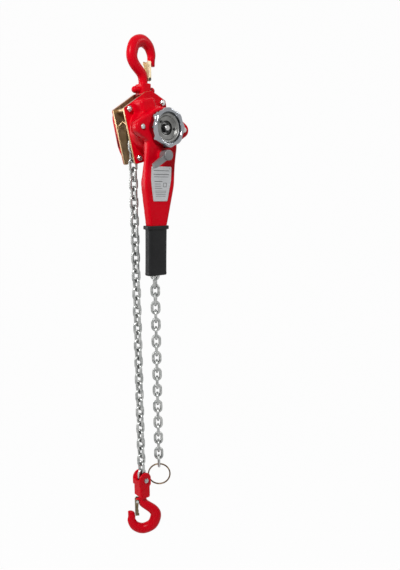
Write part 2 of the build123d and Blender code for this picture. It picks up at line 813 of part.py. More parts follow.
with BuildPart() as lever_grip:
    with BuildSketch(across_lever(-grip_top)):
        with Locations((0, grip_middle)):
            RectangleRounded(2 * grip_half_width, grip_thick, 5.0)
    extrude(amount=grip_bottom - grip_top)
    with BuildSketch(across_lever(-grip_top)):
        with Locations((0, grip_middle)):
            RectangleRounded(2 * grip_half_width + 4.5, grip_thick + 4.0, 6.0)
    extrude(amount=6.0)
    with BuildSketch(across_lever(-grip_bottom + 5.0)):
        with Locations((0, grip_middle)):
            RectangleRounded(2 * grip_half_width + 2.5, grip_thick + 2.0, 6.0)
    extrude(amount=5.0)
    fillet(lever_grip.faces().sort_by(Axis.Z)[0].edges(), 2.0)
    with BuildSketch(across_lever(-grip_top)):
        with Locations((0, grip_middle)):
            RectangleRounded(tang_width + 0.04, tang_thick + 0.04, 4.0)
    extrude(amount=tang_end - grip_top + 0.2, mode=Mode.SUBTRACT)
    with BuildSketch(across_lever(-grip_top)):
        with Locations((0, grip_middle)):
            Rectangle(2 * neck_end_half + 1.8, grip_thick + 1.4)
    extrude(amount=neck_end - grip_top + 0.6, mode=Mode.SUBTRACT)
lever_grip.part.label = "lever_grip"
export_step(lever_grip.part, "parts/lever_grip.step")

back_plate_low = selector_height + 9.5
with BuildPart() as lever_back_plate:
    with BuildSketch(lever(lever_back + back_plate_thick)):
        add(hub_outline.sketch)
        with Locations((0, -back_plate_low / 2)):
            Rectangle(2 * (neck_top_half - lever_wall - 0.6), back_plate_low)
        Circle(collar_radius + running_gap, mode=Mode.SUBTRACT)
        with Locations((0, -selector_height)):
            Circle(selector_shaft_radius + running_gap, mode=Mode.SUBTRACT)
        with Locations((ear_offset, 0), (-ear_offset, 0)):
            Circle(ear_screw_radius, mode=Mode.SUBTRACT)
    extrude(amount=back_plate_thick)
lever_back_plate.part.label = "lever_back_plate"
export_step(lever_back_plate.part, "parts/lever_back_plate.step")

ear_head_radius = 4.6
with BuildPart() as ear_screws:
    with BuildSketch(lever(lever_back + back_plate_thick)):
        with Locations((ear_offset, 0), (-ear_offset, 0)):
            Circle(ear_screw_radius - bush_play)
    extrude(amount=lever_back + back_plate_thick - lever_hub_front)
    with BuildSketch(lever(lever_hub_front)):
        with Locations((ear_offset, 0), (-ear_offset, 0)):
            Circle(ear_head_radius)
    extrude(amount=2.6)
    fillet(ear_screws.edges().group_by(Axis.Y)[0], 1.6)
ear_screws.part.label = "ear_screws"
export_step(ear_screws.part, "parts/ear_screws.step")

# ---------------------------------------------------------------- selector and its pawl
selector_angle = 212.4 - lever_tilt  # the arm points down to the left
knob_back = selector_boss_front - 0.3
knob_front = -84.0
arm_back = -75.5
arm_front = -81.5
arm_reach = 38.0
feed_nose_angles = (112.8, -51.2)  # the first nose stands against the teeth
feed_nose_radius = 2.0
feed_gap = 0.25  # first nose to the tooth tips
nose_turn = radians(feed_nose_angles[0])
nose_stand = change_tip_radius + feed_nose_radius + feed_gap
feed_nose_reach = selector_height * sin(nose_turn) - sqrt(
    nose_stand**2 - (selector_height * cos(nose_turn)) ** 2
)
selector_centre = (0, -selector_height)


def from_selector(reach, angle):
    x, z = polar(reach, angle)
    return (x, z - selector_height)


with BuildPart() as selector:
    with BuildSketch(lever(knob_back)):
        with Locations(selector_centre):
            Circle(selector_radius)
    extrude(amount=knob_back - knob_front)
    fillet(selector.faces().sort_by(Axis.Y)[0].edges(), 1.5)
    with BuildSketch(lever(arm_back)):
        with Locations(from_selector(2.0, selector_angle)):
            Circle(6.0)
        with Locations(from_selector(arm_reach - 3.0, selector_angle)):
            Rectangle(6.0, 8.6, rotation=selector_angle - 14)
        make_hull()
    extrude(amount=arm_back - arm_front)
    with BuildSketch(lever(lever_back + back_plate_thick)):
        with Locations(selector_centre):
            Circle(selector_shaft_radius)
    extrude(amount=lever_back + back_plate_thick - knob_back)
selector.part.label = "selector"
export_step(selector.part, "parts/selector.step")

with BuildPart() as feed_pawl:
    for nose in feed_nose_angles:
        with BuildSketch(lever(feed_pawl_back)):
            with Locations(selector_centre):
                Circle(6.5)
            with Locations(from_selector(feed_nose_reach, nose)):
                Circle(feed_nose_radius)
            make_hull()
        extrude(amount=feed_pawl_back - feed_pawl_front)
    with BuildSketch(lever(feed_pawl_back)):
        with Locations(selector_centre):
            Circle(selector_shaft_radius + bush_play)
    extrude(amount=feed_pawl_back - feed_pawl_front, mode=Mode.SUBTRACT)
feed_pawl.part.label = "feed_pawl"
export_step(feed_pawl.part, "parts/feed_pawl.step")

with BuildPart() as detent_plunger:
    with BuildSketch(across_lever(-selector_height - plunger_drop)):
        with Locations((0, -plunger_y)):
            Circle(plunger_radius)
    extrude(amount=plunger_long)
    fillet(detent_plunger.edges().group_by(Axis.Z)[-1], 1.4)
detent_plunger.part.label = "detent_plunger"
export_step(detent_plunger.part, "parts/detent_plunger.step")


# ---------------------------------------------------------------- hand wheel and what holds it
def along_shaft():
    # Plane through the main shaft: its x is the radius, its y runs back along the shaft.
    return Plane(origin=(main_x, 0, main_z), x_dir=(1, 0, 0), z_dir=(0, 0, 1))


shaft_axis = Axis((main_x, 0, main_z), (0, 1, 0))
sleeve_play = 0.15
wheel_hub_radius = 16.0
dish_floor = wheel_front + 11.5
rim_inner = wheel_radius - 4.0
scallop_radius = 14.0
scallop_depth = 2.0
scallop_reach = wheel_radius + scallop_radius - scallop_depth
with BuildPart() as hand_wheel:
    with BuildSketch(along_shaft()):
        with BuildLine():
            Polyline(
                (9.0, wheel_back + 2.5),
                (wheel_hub_radius, wheel_back + 2.5),
                (wheel_hub_radius, dish_floor + 2.6),
                (rim_inner - 8.0, dish_floor + 2.6),
                (rim_inner, dish_floor - 1.0),
                (rim_inner, wheel_back - 0.5),
                (wheel_radius, wheel_back - 0.5),
                (wheel_radius, wheel_front + 2.0),
                (wheel_radius - 2.5, wheel_front),
                (28.5, wheel_front),
                (26.9, wheel_front + 1.8),
                (25.0, wheel_front + 8.0),
                (22.5, wheel_front + 9.0),
                (20.5, dish_floor),
                (13.0, dish_floor),
                (12.4, dish_floor + 3.0),
                (9.0, dish_floor + 3.0),
                close=True,
            )
        make_face()
    revolve(axis=shaft_axis)
    with BuildSketch(front(wheel_back)):
        with PolarLocations(scallop_reach, wheel_lobes, start_angle=22.5):
            Circle(scallop_radius)
    extrude(amount=30, mode=Mode.SUBTRACT)
    with BuildSketch(front(wheel_back + 5)):
        RegularPolygon(sleeve_flats / 2 + sleeve_play, 6, major_radius=False)
    extrude(amount=30, mode=Mode.SUBTRACT)
hand_wheel.part.label = "hand_wheel"
export_step(hand_wheel.part, "parts/hand_wheel.step")

castle_flats = 15.0
with BuildPart() as castle_nut:
    with BuildSketch(front(castle_back)):
        RegularPolygon(castle_flats / 2, 6, major_radius=False)
        Circle(nut_thread_radius + running_gap, mode=Mode.SUBTRACT)
    extrude(amount=castle_back - castle_front)
    for turn in range(3):
        with BuildSketch(front(castle_front, 90 + 60 * turn)):
            Rectangle(castle_flats + 4, 2.4)
        extrude(amount=-2.6, mode=Mode.SUBTRACT)
castle_nut.part.label = "castle_nut"
export_step(castle_nut.part, "parts/castle_nut.step")

with BuildPart() as cotter_pin:
    with BuildSketch(Plane(origin=(main_x, pin_depth, main_z), z_dir=(0, 0, 1))):
        Circle(cotter_radius)
    extrude(amount=9.5, both=True)
cotter_pin.part.label = "cotter_pin"
export_step(cotter_pin.part, "parts/cotter_pin.step")

with BuildPart() as wheel_spring:
    with BuildLine() as turns:
        Helix(1.7, 3.4, 12.8, center=(main_x, feed_front - 0.9, main_z), direction=(0, -1, 0))
    with BuildSketch(Plane(origin=turns.line @ 0, z_dir=turns.line % 0)):
        Circle(0.7)
    sweep(path=turns.line)
wheel_spring.part.label = "wheel_spring"
export_step(wheel_spring.part, "parts/wheel_spring.step")

with BuildPart() as wheel_screws:
    with BuildSketch(front(dish_floor)):
        with Locations((-12.6, 10.6), (16.8, -1.3)):
            Circle(2.2)
    extrude(amount=1.8)
wheel_screws.part.label = "wheel_screws"
export_step(wheel_screws.part, "parts/wheel_screws.step")

# ---------------------------------------------------------------- nameplate
plate_top = -68.0
plate_bottom = -132.0
run = Vector(0, neck_front[1][0] - neck_front[2][0], neck_front[1][1] - neck_front[2][1]).normalized()
lean = radians(lever_tilt)
lever_up = Vector(-sin(lean), 0, cos(lean))
lever_across = Vector(cos(lean), 0, sin(lean))
neck_foot = Vector(main_x, neck_front[1][0], main_z) + lever_up * neck_front[1][1]
neck_up = Vector(0, run.Y, 0) + lever_up * run.Z
neck_face = Plane(origin=neck_foot, x_dir=lever_across, z_dir=lever_across.cross(neck_up))
nameplate_outline = [
    (-16.5, plate_bottom - neck_front[1][1]),
    (16.5, plate_bottom - neck_front[1][1]),
    (23.5, -28.0),
    (23.5, plate_top - neck_front[1][1]),
    (-23.5, plate_top - neck_front[1][1]),
    (-23.5, -28.0),
]
with BuildSketch() as nameplate_face:
    Polygon(*nameplate_outline, align=None)
    fillet(nameplate_face.vertices(), 2.5)

rivets_at = [(side * x, z) for side in (-1, 1) for x, z in ((20.5, -5.5), (13.5, -67.5 + 4.5))]
with BuildPart() as nameplate:
    with BuildSketch(neck_face):
        add(nameplate_face.sketch)
    extrude(amount=0.8)
    with BuildSketch(neck_face.offset(0.8)):
        with Locations(*rivets_at):
            Circle(1.5)
    extrude(amount=0.7)
nameplate.part.label = "nameplate"
export_step(nameplate.part, "parts/nameplate.step")

# ---------------------------------------------------------------- hooks
shank_top = 69.0  # where the round shank ends, under the seat
hook_stations = [
    # along the hook: place (towards the tip, up), heading, width in the hook's plane, thickness
    ((0.0, -shank_top), 90.0, 2 * hook_shank_radius, 2 * hook_shank_radius),
    ((0.0, -61.0), 90.0, 2 * hook_shank_radius, 2 * hook_shank_radius),
    ((-5.5, -49.5), 121.0, 18.0, 17.0),
]
hook_bowl = [(213, 19.5, 17.5), (180, 21.5, 18.5), (135, 22.5, 19.0), (90, 22.5, 19.0)]
hook_bowl += [(50, 20.5, 18.0), (15, 17.5, 16.0)]
hook_tip = [((23.8, -22.0), -87.0, 14.5, 13.5), ((25.4, -34.0), -82.0, 10.5, 10.0)]
for bearing, width, thick in hook_bowl:
    reach = hook_bowl_radius + width / 2
    x, z = polar(reach, bearing)
    hook_stations.append(((x, z - hook_bowl_radius), bearing - 90, width, thick))
hook_stations += hook_tip

yoke_stud_drop = 11.0  # studs of a yoke, from its face
shank_end = seat_to_yoke + 17.0
shank_groove_radius = 6.2
latch_pivot = (11.5, -seat_to_yoke + 9.5)
latch_pin_radius = 1.8
lug_half = 3.4
lug_radius = 3.2
latch_half = 7.0
latch_wall = 1.2
latch_cheek_radius = 4.3
latch_web = 16.2  # outer face of the latch's web
latch_top = -24.0

with BuildPart() as hook_bend:
    for (x, z), heading, width, thick in hook_stations:
        ahead = (cos(radians(heading)), 0, sin(radians(heading)))
        aside = (-sin(radians(heading)), 0, cos(radians(heading)))
        with BuildSketch(Plane(origin=(x, 0, z), x_dir=aside, z_dir=ahead)):
            Ellipse(width / 2, thick / 2)
    loft()

with BuildPart() as hook_blank:
    with BuildSketch(Plane.XY.offset(-shank_end)):
        Circle(hook_shank_radius)
    extrude(amount=shank_end - shank_top)
    with BuildSketch(Plane.XY.offset(-seat_to_yoke - yoke_stud_drop - 3.2)):
        Circle(hook_shank_radius + 1)
        Circle(shank_groove_radius, mode=Mode.SUBTRACT)
    extrude(amount=6.4, mode=Mode.SUBTRACT)
    add(hook_bend.part)
    with BuildSketch(Plane.XZ.offset(-lug_half)):
        with Locations(latch_pivot):
            Circle(lug_radius)
        with Locations((hook_shank_radius - 3.0, latch_pivot[1])):
            Circle(lug_radius)
        make_hull()
    extrude(amount=2 * lug_half)
    with BuildSketch(Plane.XZ.offset(-lug_half)):
        with Locations(latch_pivot):
            Circle(latch_pin_radius + running_gap)
    extrude(amount=2 * lug_half, mode=Mode.SUBTRACT)

with BuildPart() as latch_blank:
    with BuildSketch(Plane.XZ.offset(-latch_half)):
        with Locations(latch_pivot):
            Circle(latch_cheek_radius)
        with BuildLine():
            Polyline(
                (latch_pivot[0] - 3.0, latch_pivot[1]),
                (latch_web - 5.5, latch_top - 9.0),
                (latch_web - 8.0, latch_top - 5.0),
                (latch_web - 8.0, latch_top),
                (latch_web, latch_top),
                (latch_web, latch_pivot[1]),
                close=True,
            )
        make_face()
    extrude(amount=2 * latch_half)
    with BuildSketch(Plane.XZ.offset(-latch_half + latch_wall)):
        with Locations((latch_web - latch_wall - 10.0, (latch_pivot[1] + latch_top) / 2)):
            Rectangle(20.0, latch_top - latch_pivot[1] + 20)
    extrude(amount=2 * (latch_half - latch_wall), mode=Mode.SUBTRACT)
    with BuildSketch(Plane.XZ.offset(-latch_half)):
        with Locations(latch_pivot):
            Circle(latch_pin_radius + running_gap)
    extrude(amount=2 * latch_half, mode=Mode.SUBTRACT)

with BuildPart() as latch_pin_blank:
    with BuildSketch(Plane.XZ.offset(-latch_half - 1.4)):
        with Locations(latch_pivot):
            Circle(latch_pin_radius)
    extrude(amount=2 * latch_half + 2.8)
    for start in (latch_half + 0.05, -latch_half - 1.45):
        with BuildSketch(Plane.XZ.offset(start)):
            with Locations(latch_pivot):
                Circle(latch_pin_radius + 1.2)
        extrude(amount=1.4)

with BuildPart() as latch_spring_blank:
    spring_at = (latch_pivot[0], -lug_half - 0.6, latch_pivot[1])
    with BuildLine() as turns:
        Helix(0.75, 1.1, latch_pin_radius + 0.6, center=spring_at, direction=(0, -1, 0))
    with BuildSketch(Plane(origin=turns.line @ 0, z_dir=turns.line % 0)):
        Circle(0.3)
    sweep(path=turns.line)

load_last = main_z + fall_rise - flat_reach - (load_links - 1) * chain_pitch
chain_pin_radius = 2.9
chain_pin_z = load_last - link_half + chain_wire / 2 + chain_pin_radius + link_play
load_yoke_bottom = chain_pin_z - 41.5
load_seat_z = load_yoke_bottom - seat_to_yoke
hook_places = {
    "top": Location((0, 0, 0), (0, 0, hook_yaw)),
    "load": Location((load_x, 0, load_seat_z), (0, 180, 0))
    * Location((0, 0, 0), (0, 0, 180 - load_hook_yaw)),
}
hook_pieces = {
    "hook": hook_blank,
    "latch": latch_blank,
    "latch_pin": latch_pin_blank,
    "latch_spring": latch_spring_blank,
}
for where, place in hook_places.items():
    for name, blank in hook_pieces.items():
        with BuildPart() as piece:
            with Locations(place):
                add(blank.part)
        piece.part.label = f"{where}_{name}"
        export_step(piece.part, f"parts/{where}_{name}.step")

# ---------------------------------------------------------------- yokes, their studs and pins
stud_radius = 2.9
stud_tip = shank_groove_radius + 0.2
dome_radius = 6.5
dome_start = yoke_half_x + 0.3
dome_centre = 19.5
yoke_corner = 5.0
yoke_leg = 4.0
yoke_foot_radius = 11.0
yoke_bore = hook_shank_radius + running_gap
mouth_flare = 0.4
mouth_depth = 3.0
bore_depth = shank_end - seat_to_yoke + 0.5
crown_bottom = -seat_to_yoke - bore_depth - 2.5


def stud_height(face, away):
    return face + away * yoke_stud_drop


with BuildPart() as top_yoke:
    with BuildSketch(Plane.XZ.offset(-yoke_half_y)):
        with BuildLine():
            Polyline(
                (-yoke_foot_radius, top_pin_z),
                (-yoke_half_x, -seat_to_yoke - 12.0),
                (-yoke_half_x, -seat_to_yoke),
                (yoke_half_x, -seat_to_yoke),
                (yoke_half_x, -seat_to_yoke - 12.0),
                (yoke_foot_radius, top_pin_z),
            )
            ThreePointArc(
                (yoke_foot_radius, top_pin_z),
                (0, top_pin_z - yoke_foot_radius),
                (-yoke_foot_radius, top_pin_z),
            )
        make_face()
    extrude(amount=2 * yoke_half_y)
    upright = top_yoke.edges().filter_by(Axis.Z)
    fillet(upright, yoke_corner)
    fillet(top_yoke.faces().sort_by(Axis.Z)[-1].edges(), 1.5)
    with BuildSketch(Plane.YZ.offset(-yoke_half_x - 1)):
        with BuildLine():
            Polyline(
                (-yoke_half_y + yoke_leg, top_pin_z - yoke_foot_radius - 1),
                (-yoke_half_y + yoke_leg, top_pin_z + 3.0),
                (-yoke_half_y + yoke_leg + 3.5, crown_bottom),
                (yoke_half_y - yoke_leg - 3.5, crown_bottom),
                (yoke_half_y - yoke_leg, top_pin_z + 3.0),
                (yoke_half_y - yoke_leg, top_pin_z - yoke_foot_radius - 1),
                close=True,
            )
        make_face()
    extrude(amount=2 * yoke_half_x + 2, mode=Mode.SUBTRACT)
    with BuildSketch(Plane.XY.offset(-seat_to_yoke)):
        Circle(yoke_bore)
    extrude(amount=-bore_depth - 3.0, mode=Mode.SUBTRACT)
    with BuildSketch(Plane.XY.offset(-seat_to_yoke)):
        Circle(yoke_bore + mouth_flare)
    extrude(amount=-mouth_depth, mode=Mode.SUBTRACT)
    with BuildSketch(Plane.XZ.offset(-yoke_half_y)):
        with Locations((0, top_pin_z)):
            Circle(top_pin_radius + running_gap)
    extrude(amount=2 * yoke_half_y, mode=Mode.SUBTRACT)
    with BuildSketch(Plane.YZ.offset(-yoke_half_x - 1)):
        with Locations((0, stud_height(-seat_to_yoke, -1))):
            Circle(stud_radius + bush_play)
    extrude(amount=2 * yoke_half_x + 2, mode=Mode.SUBTRACT)
top_yoke.part.label = "top_yoke"
export_step(top_yoke.part, "parts/top_yoke.step")

stud_line = Plane(origin=(0, 0, stud_height(-seat_to_yoke, -1)), x_dir=(1, 0, 0), z_dir=(0, -1, 0))
with BuildPart() as top_yoke_studs:
    for hand in (-1, 1):
        with BuildSketch(stud_line):
            with BuildLine():
                Polyline(
                    (hand * (dome_centre + dome_radius), 0),
                    (hand * stud_tip, 0),
                    (hand * stud_tip, stud_radius),
                    (hand * dome_start, stud_radius),
                    (hand * dome_start, dome_radius),
                    (hand * dome_centre, dome_radius),
                )
                ThreePointArc(
                    (hand * dome_centre, dome_radius),
                    (hand * (dome_centre + dome_radius * sqrt(0.5)), dome_radius * sqrt(0.5)),
                    (hand * (dome_centre + dome_radius), 0),
                )
            make_face()
        revolve(axis=Axis(stud_line.origin, (1, 0, 0)))
top_yoke_studs.part.label = "top_yoke_studs"
export_step(top_yoke_studs.part, "parts/top_yoke_studs.step")

with BuildPart() as top_pin:
    with BuildSketch(body(plate_outer - 0.1)):
        with Locations(top_pin_at):
            Circle(top_pin_radius)
    extrude(amount=2 * plate_outer - 0.2)
top_pin.part.label = "top_pin"
export_step(top_pin.part, "parts/top_pin.step")

# The load yoke is a fork: the end link hangs on a pin along Y, the hook turns in its foot.
end_slot = chain_wire / 2 + 0.5
link_clear = link_width / 2 + 0.6
link_end_above_pin = load_last + chain_pitch - standing_reach - chain_pin_z
fork_half_x = 15.0
fork_foot_half = 12.5
with BuildPart() as link_relief:
    with BuildSketch(Plane(origin=(load_x, 0, chain_pin_z), x_dir=(0, 1, 0), z_dir=(1, 0, 0))):
        with Locations((0, link_end_above_pin)):
            Circle(link_clear)
    revolve(axis=Axis((load_x, 0, chain_pin_z), (0, 1, 0)))
    split(bisect_by=Plane.XY.offset(chain_pin_z), keep=Keep.TOP)

with BuildPart() as load_yoke:
    with BuildSketch(Plane.XZ.offset(-fork_half_y)):
        with Locations((load_x, chain_pin_z)):
            Circle(fork_half_x)
        with BuildLine():
            Polyline(
                (load_x - fork_half_x, chain_pin_z),
                (load_x - fork_half_x, chain_pin_z - 12.0),
                (load_x - fork_foot_half, chain_pin_z - 15.0),
                (load_x - fork_foot_half, load_yoke_bottom + 4.0),
                (load_x - fork_foot_half + 3.5, load_yoke_bottom),
                (load_x + fork_foot_half - 3.5, load_yoke_bottom),
                (load_x + fork_foot_half, load_yoke_bottom + 4.0),
                (load_x + fork_foot_half, chain_pin_z - 15.0),
                (load_x + fork_half_x, chain_pin_z - 12.0),
                (load_x + fork_half_x, chain_pin_z),
                close=True,
            )
        make_face()
    extrude(amount=2 * fork_half_y)
    upright = load_yoke.edges().filter_by(Axis.Z)
    fillet(upright.filter_by(lambda e: e.center().Z < chain_pin_z - 15), 4.0)
    fillet(load_yoke.edges().filter_by(GeomType.CIRCLE).filter_by(lambda e: e.radius > 10), 2.0)
    with BuildSketch(Plane.XZ.offset(-end_slot)):
        with Locations((load_x, chain_pin_z)):
            Circle(link_clear + 1.0)
        with Locations((load_x, chain_pin_z + fork_half_x)):
            Rectangle(2 * fork_half_x + 2, 2 * fork_half_x)
    extrude(amount=2 * end_slot, mode=Mode.SUBTRACT)
    add(link_relief.part, mode=Mode.SUBTRACT)
    with BuildSketch(Plane.XY.offset(load_yoke_bottom)):
        with Locations((load_x, 0)):
            Circle(yoke_bore)
    extrude(amount=bore_depth, mode=Mode.SUBTRACT)
    with BuildSketch(Plane.XY.offset(load_yoke_bottom)):
        with Locations((load_x, 0)):
            Circle(yoke_bore + mouth_flare)
    extrude(amount=mouth_depth, mode=Mode.SUBTRACT)
    with BuildSketch(Plane.XZ.offset(-fork_half_y)):
        with Locations((load_x, chain_pin_z)):
            Circle(chain_pin_radius + running_gap)
    extrude(amount=2 * fork_half_y, mode=Mode.SUBTRACT)
    with BuildSketch(Plane.YZ.offset(load_x - fork_half_x)):
        with Locations((0, stud_height(load_yoke_bottom, 1))):
            Circle(stud_radius + bush_play)
    extrude(amount=2 * fork_half_x, mode=Mode.SUBTRACT)
load_yoke.part.label = "load_yoke"
export_step(load_yoke.part, "parts/load_yoke.step")

with BuildPart() as load_yoke_studs:
    for start in (load_x - fork_foot_half + 0.3, load_x + stud_tip):
        with BuildSketch(Plane.YZ.offset(start)):
            with Locations((0, stud_height(load_yoke_bottom, 1))):
                Circle(stud_radius)
        extrude(amount=fork_foot_half - stud_tip - 0.3)
load_yoke_studs.part.label = "load_yoke_studs"
export_step(load_yoke_studs.part, "parts/load_yoke_studs.step")

pin_head_radius = 5.2
pin_head_thick = 3.0
pin_nut_flats = 9.0
pin_nut_height = 4.5
with BuildPart() as chain_pin:
    with BuildSketch(Plane.XZ.offset(-fork_half_y)):
        with Locations((load_x, chain_pin_z)):
            Circle(chain_pin_radius)
    extrude(amount=2 * fork_half_y + pin_nut_height + 1.0)
    with BuildSketch(Plane.XZ.offset(-fork_half_y - pin_head_thick)):
        with Locations((load_x, chain_pin_z)):
            Circle(pin_head_radius)
    extrude(amount=pin_head_thick)
    fillet(chain_pin.edges().group_by(Axis.Y)[-1], 1.8)
    with BuildSketch(Plane.XZ.offset(fork_half_y)):
        with Locations((load_x, chain_pin_z)):
            RegularPolygon(pin_nut_flats / 2, 6, major_radius=False)
            Circle(chain_pin_radius + running_gap, mode=Mode.SUBTRACT)
    extrude(amount=pin_nut_height)
chain_pin.part.label = "chain_pin"
export_step(chain_pin.part, "parts/chain_pin.step")

# ---------------------------------------------------------------- chain guide between the plates
guide_wide = 5.0
guide_wall = 1.8
guide_left = -42.7
guide_apex = 16.8
guide_foot = 9.2
with BuildPart() as chain_guide:
    with BuildSketch(Plane(origin=(main_x + guide_left, 0, main_z), x_dir=(0, 1, 0), z_dir=(1, 0, 0))):
        with BuildLine():
            Polyline(
                (-plate_inner, guide_foot - 7.0),
                (-plate_inner, guide_foot + 0.5),
                (0, guide_apex + guide_wall / 2),
                (plate_inner, guide_foot + 0.5),
                (plate_inner, guide_foot - 7.0),
                (plate_inner - guide_wall, guide_foot - 7.0),
                (plate_inner - guide_wall, guide_foot - 0.7),
                (0, guide_apex - guide_wall / 2),
                (guide_wall - plate_inner, guide_foot - 0.7),
                (guide_wall - plate_inner, guide_foot - 7.0),
                close=True,
            )
        make_face()
    extrude(amount=guide_wide / 2, both=True)
chain_guide.part.label = "chain_guide"
export_step(chain_guide.part, "parts/chain_guide.step")

# ---------------------------------------------------------------- load chain
with BuildPart() as link:
    with BuildLine() as loop:
        for end in (-1, 1):
            ThreePointArc(
                (-link_bend, 0, end * standing_reach),
                (0, 0, end * link_half),
                (link_bend, 0, end * standing_reach),
            )
            Line((end * link_bend, 0, -standing_reach), (end * link_bend, 0, standing_reach))
    with BuildSketch(Plane(origin=(link_bend, 0, 0), z_dir=(0, 0, 1))):
        Circle(chain_wire / 2)
    sweep(path=loop.wires()[0])


def load_link(number):
    # Even links of the load fall lie across the sheave, odd ones stand along it.
    height = main_z + fall_rise - flat_reach - number * chain_pitch
    return Location((load_x, 0, height), (0, 0, 90 * ((number + 1) % 2)))


def tail_link(number):
    height = main_z - fall_rise - standing_reach - number * chain_pitch
    twist = tail_twist * min(max((number - twist_from) / twist_over, 0), 1)
    return Location((tail_x, 0, height), (0, 0, 90 * (number % 2) + twist))


def sheave_link(number):
    bearing = flat_angle - sheave_turn + number * pocket_angle
    standing = number % 2
    reach = standing_radius if standing else flat_radius
    x, z = polar(reach, bearing)
    turn = Location((0, 0, 0), (0, 0, 0 if standing else 90))
    return Location((main_x + x, 0, main_z + z), (0, -bearing, 0)) * turn


first_hanging = links_at_sheave + 1
wrapped = [sheave_link(number) for number in range(sheave_pockets)]
wrapped += [fall(number) for fall in (load_link, tail_link) for number in range(links_at_sheave)]
chain_runs = {
    "chain_over_sheave": wrapped,
    "load_chain_top_link": [load_link(links_at_sheave)],
    "load_chain": [load_link(number) for number in range(first_hanging, load_links - 1)],
    "load_chain_end_link": [load_link(load_links - 1)],
    "tail_chain_top_link": [tail_link(links_at_sheave)],
    "tail_chain": [tail_link(number) for number in range(first_hanging, tail_links)],
}
for name, places in chain_runs.items():
    run = Compound(label=name, children=[link.part.moved(place) for place in places])
    export_step(run, f"parts/{name}.step")

# ---------------------------------------------------------------- end ring of the free fall
tail_last = tail_link(tail_links - 1).position.Z
ring_top = tail_last - link_half + chain_wire / 2 + ring_wire_radius + 0.1
ring_facing = radians(tail_twist)
ring_axle = Vector(-sin(ring_facing), cos(ring_facing), 0)
ring_section = Plane(origin=(tail_x, 0, ring_top), z_dir=ring_axle)
ring_normal = ring_axle.cross(Vector(0, 0, 1))
with BuildPart() as end_ring:
    with BuildSketch(ring_section):
        Circle(ring_wire_radius)
    revolve(axis=Axis((tail_x, 0, ring_top - ring_radius), ring_normal))
end_ring.part.label = "end_ring"
export_step(end_ring.part, "parts/end_ring.step")
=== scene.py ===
import json
from contextlib import contextmanager

import bmesh
import bpy
import numpy as np
from mathutils import Matrix, Vector


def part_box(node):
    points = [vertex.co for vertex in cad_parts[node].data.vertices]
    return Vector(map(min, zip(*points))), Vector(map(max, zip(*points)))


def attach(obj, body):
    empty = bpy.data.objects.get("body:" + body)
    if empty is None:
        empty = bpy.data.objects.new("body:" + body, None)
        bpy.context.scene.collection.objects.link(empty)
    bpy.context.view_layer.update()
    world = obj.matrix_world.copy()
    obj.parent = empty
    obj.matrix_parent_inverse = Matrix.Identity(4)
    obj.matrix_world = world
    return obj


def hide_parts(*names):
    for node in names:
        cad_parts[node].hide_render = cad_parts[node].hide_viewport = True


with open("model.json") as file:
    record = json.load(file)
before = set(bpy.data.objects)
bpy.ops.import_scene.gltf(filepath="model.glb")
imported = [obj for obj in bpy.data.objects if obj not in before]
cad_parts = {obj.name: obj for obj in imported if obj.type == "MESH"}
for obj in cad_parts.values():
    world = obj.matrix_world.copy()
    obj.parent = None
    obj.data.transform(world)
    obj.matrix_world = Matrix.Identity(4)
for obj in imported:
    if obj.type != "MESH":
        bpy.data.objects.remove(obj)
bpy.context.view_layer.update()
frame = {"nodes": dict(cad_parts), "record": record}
nodes = frame["nodes"]
record = frame["record"]
bodies = record["behaviour"]["bodies"]
slotOf = {part["node"]: part["material_slot"] for part in record["subparts"]}
bodyOf = {node: body for body, group in bodies.items() for node in group}
mm = 0.001


def boxOf(node):
    low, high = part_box(node)
    return np.array(low), np.array(high)


def middleOf(node):
    low, high = boxOf(node)
    return (low + high) / 2


mainX, _, mainZ = middleOf("hand_wheel")  # the main shaft runs along Y through here
shaftAt = np.array([mainX, 0, mainZ])
fallTop = {fall: middleOf(f"{fall}_chain_top_link") for fall in ("load", "tail")}


def linked(name, data):
    item = bpy.data.objects.new(name, data)
    bpy.context.scene.collection.objects.link(item)
    return item


cameraPlace = {
    "distance": 1.09165, "above": -0.09788,
    "bearing": 36.36, "pitch": 10.42, "roll": -1.42,
    "lens": 34.61, "sensor": 36, "shiftX": 0.095, "shiftY": -0.0017, "clipEnd": 50,
}


def makeCamera():
    # Looks along the bearing from the lever side, tipped down by the pitch.
    bearing, pitch, roll = (np.radians(cameraPlace[key]) for key in ("bearing", "pitch", "roll"))
    level = np.cos(pitch)
    away = Vector((np.sin(bearing) * level, np.cos(bearing) * level, -np.sin(pitch)))
    right = Vector((np.cos(bearing), -np.sin(bearing), 0))
    up = right.cross(away)
    turnedRight = right * np.cos(roll) + up * np.sin(roll)
    turnedUp = up * np.cos(roll) - right * np.sin(roll)
    data = bpy.data.cameras.new("camera")
    data.lens = cameraPlace["lens"]
    data.sensor_width = cameraPlace["sensor"]
    data.shift_x = cameraPlace["shiftX"]
    data.shift_y = cameraPlace["shiftY"]
    data.clip_end = cameraPlace["clipEnd"]
    camera = linked("camera", data)
    turn = Matrix((turnedRight, turnedUp, -away)).transposed().to_4x4()
    place = Vector((
        mainX - np.sin(bearing) * cameraPlace["distance"],
        -np.cos(bearing) * cameraPlace["distance"],
        mainZ + cameraPlace["above"],
    ))
    camera.matrix_world = Matrix.Translation(place) @ turn
    bpy.context.scene.camera = camera


makeCamera()
print("camera set")


def newMaterial(name):
    material = bpy.data.materials.new(name)
    material.use_nodes = True
    tree = material.node_tree
    shader = tree.nodes["Principled BSDF"]
    coords = tree.nodes.new("ShaderNodeTexCoord")
    return material, tree, shader, coords.outputs["Object"]


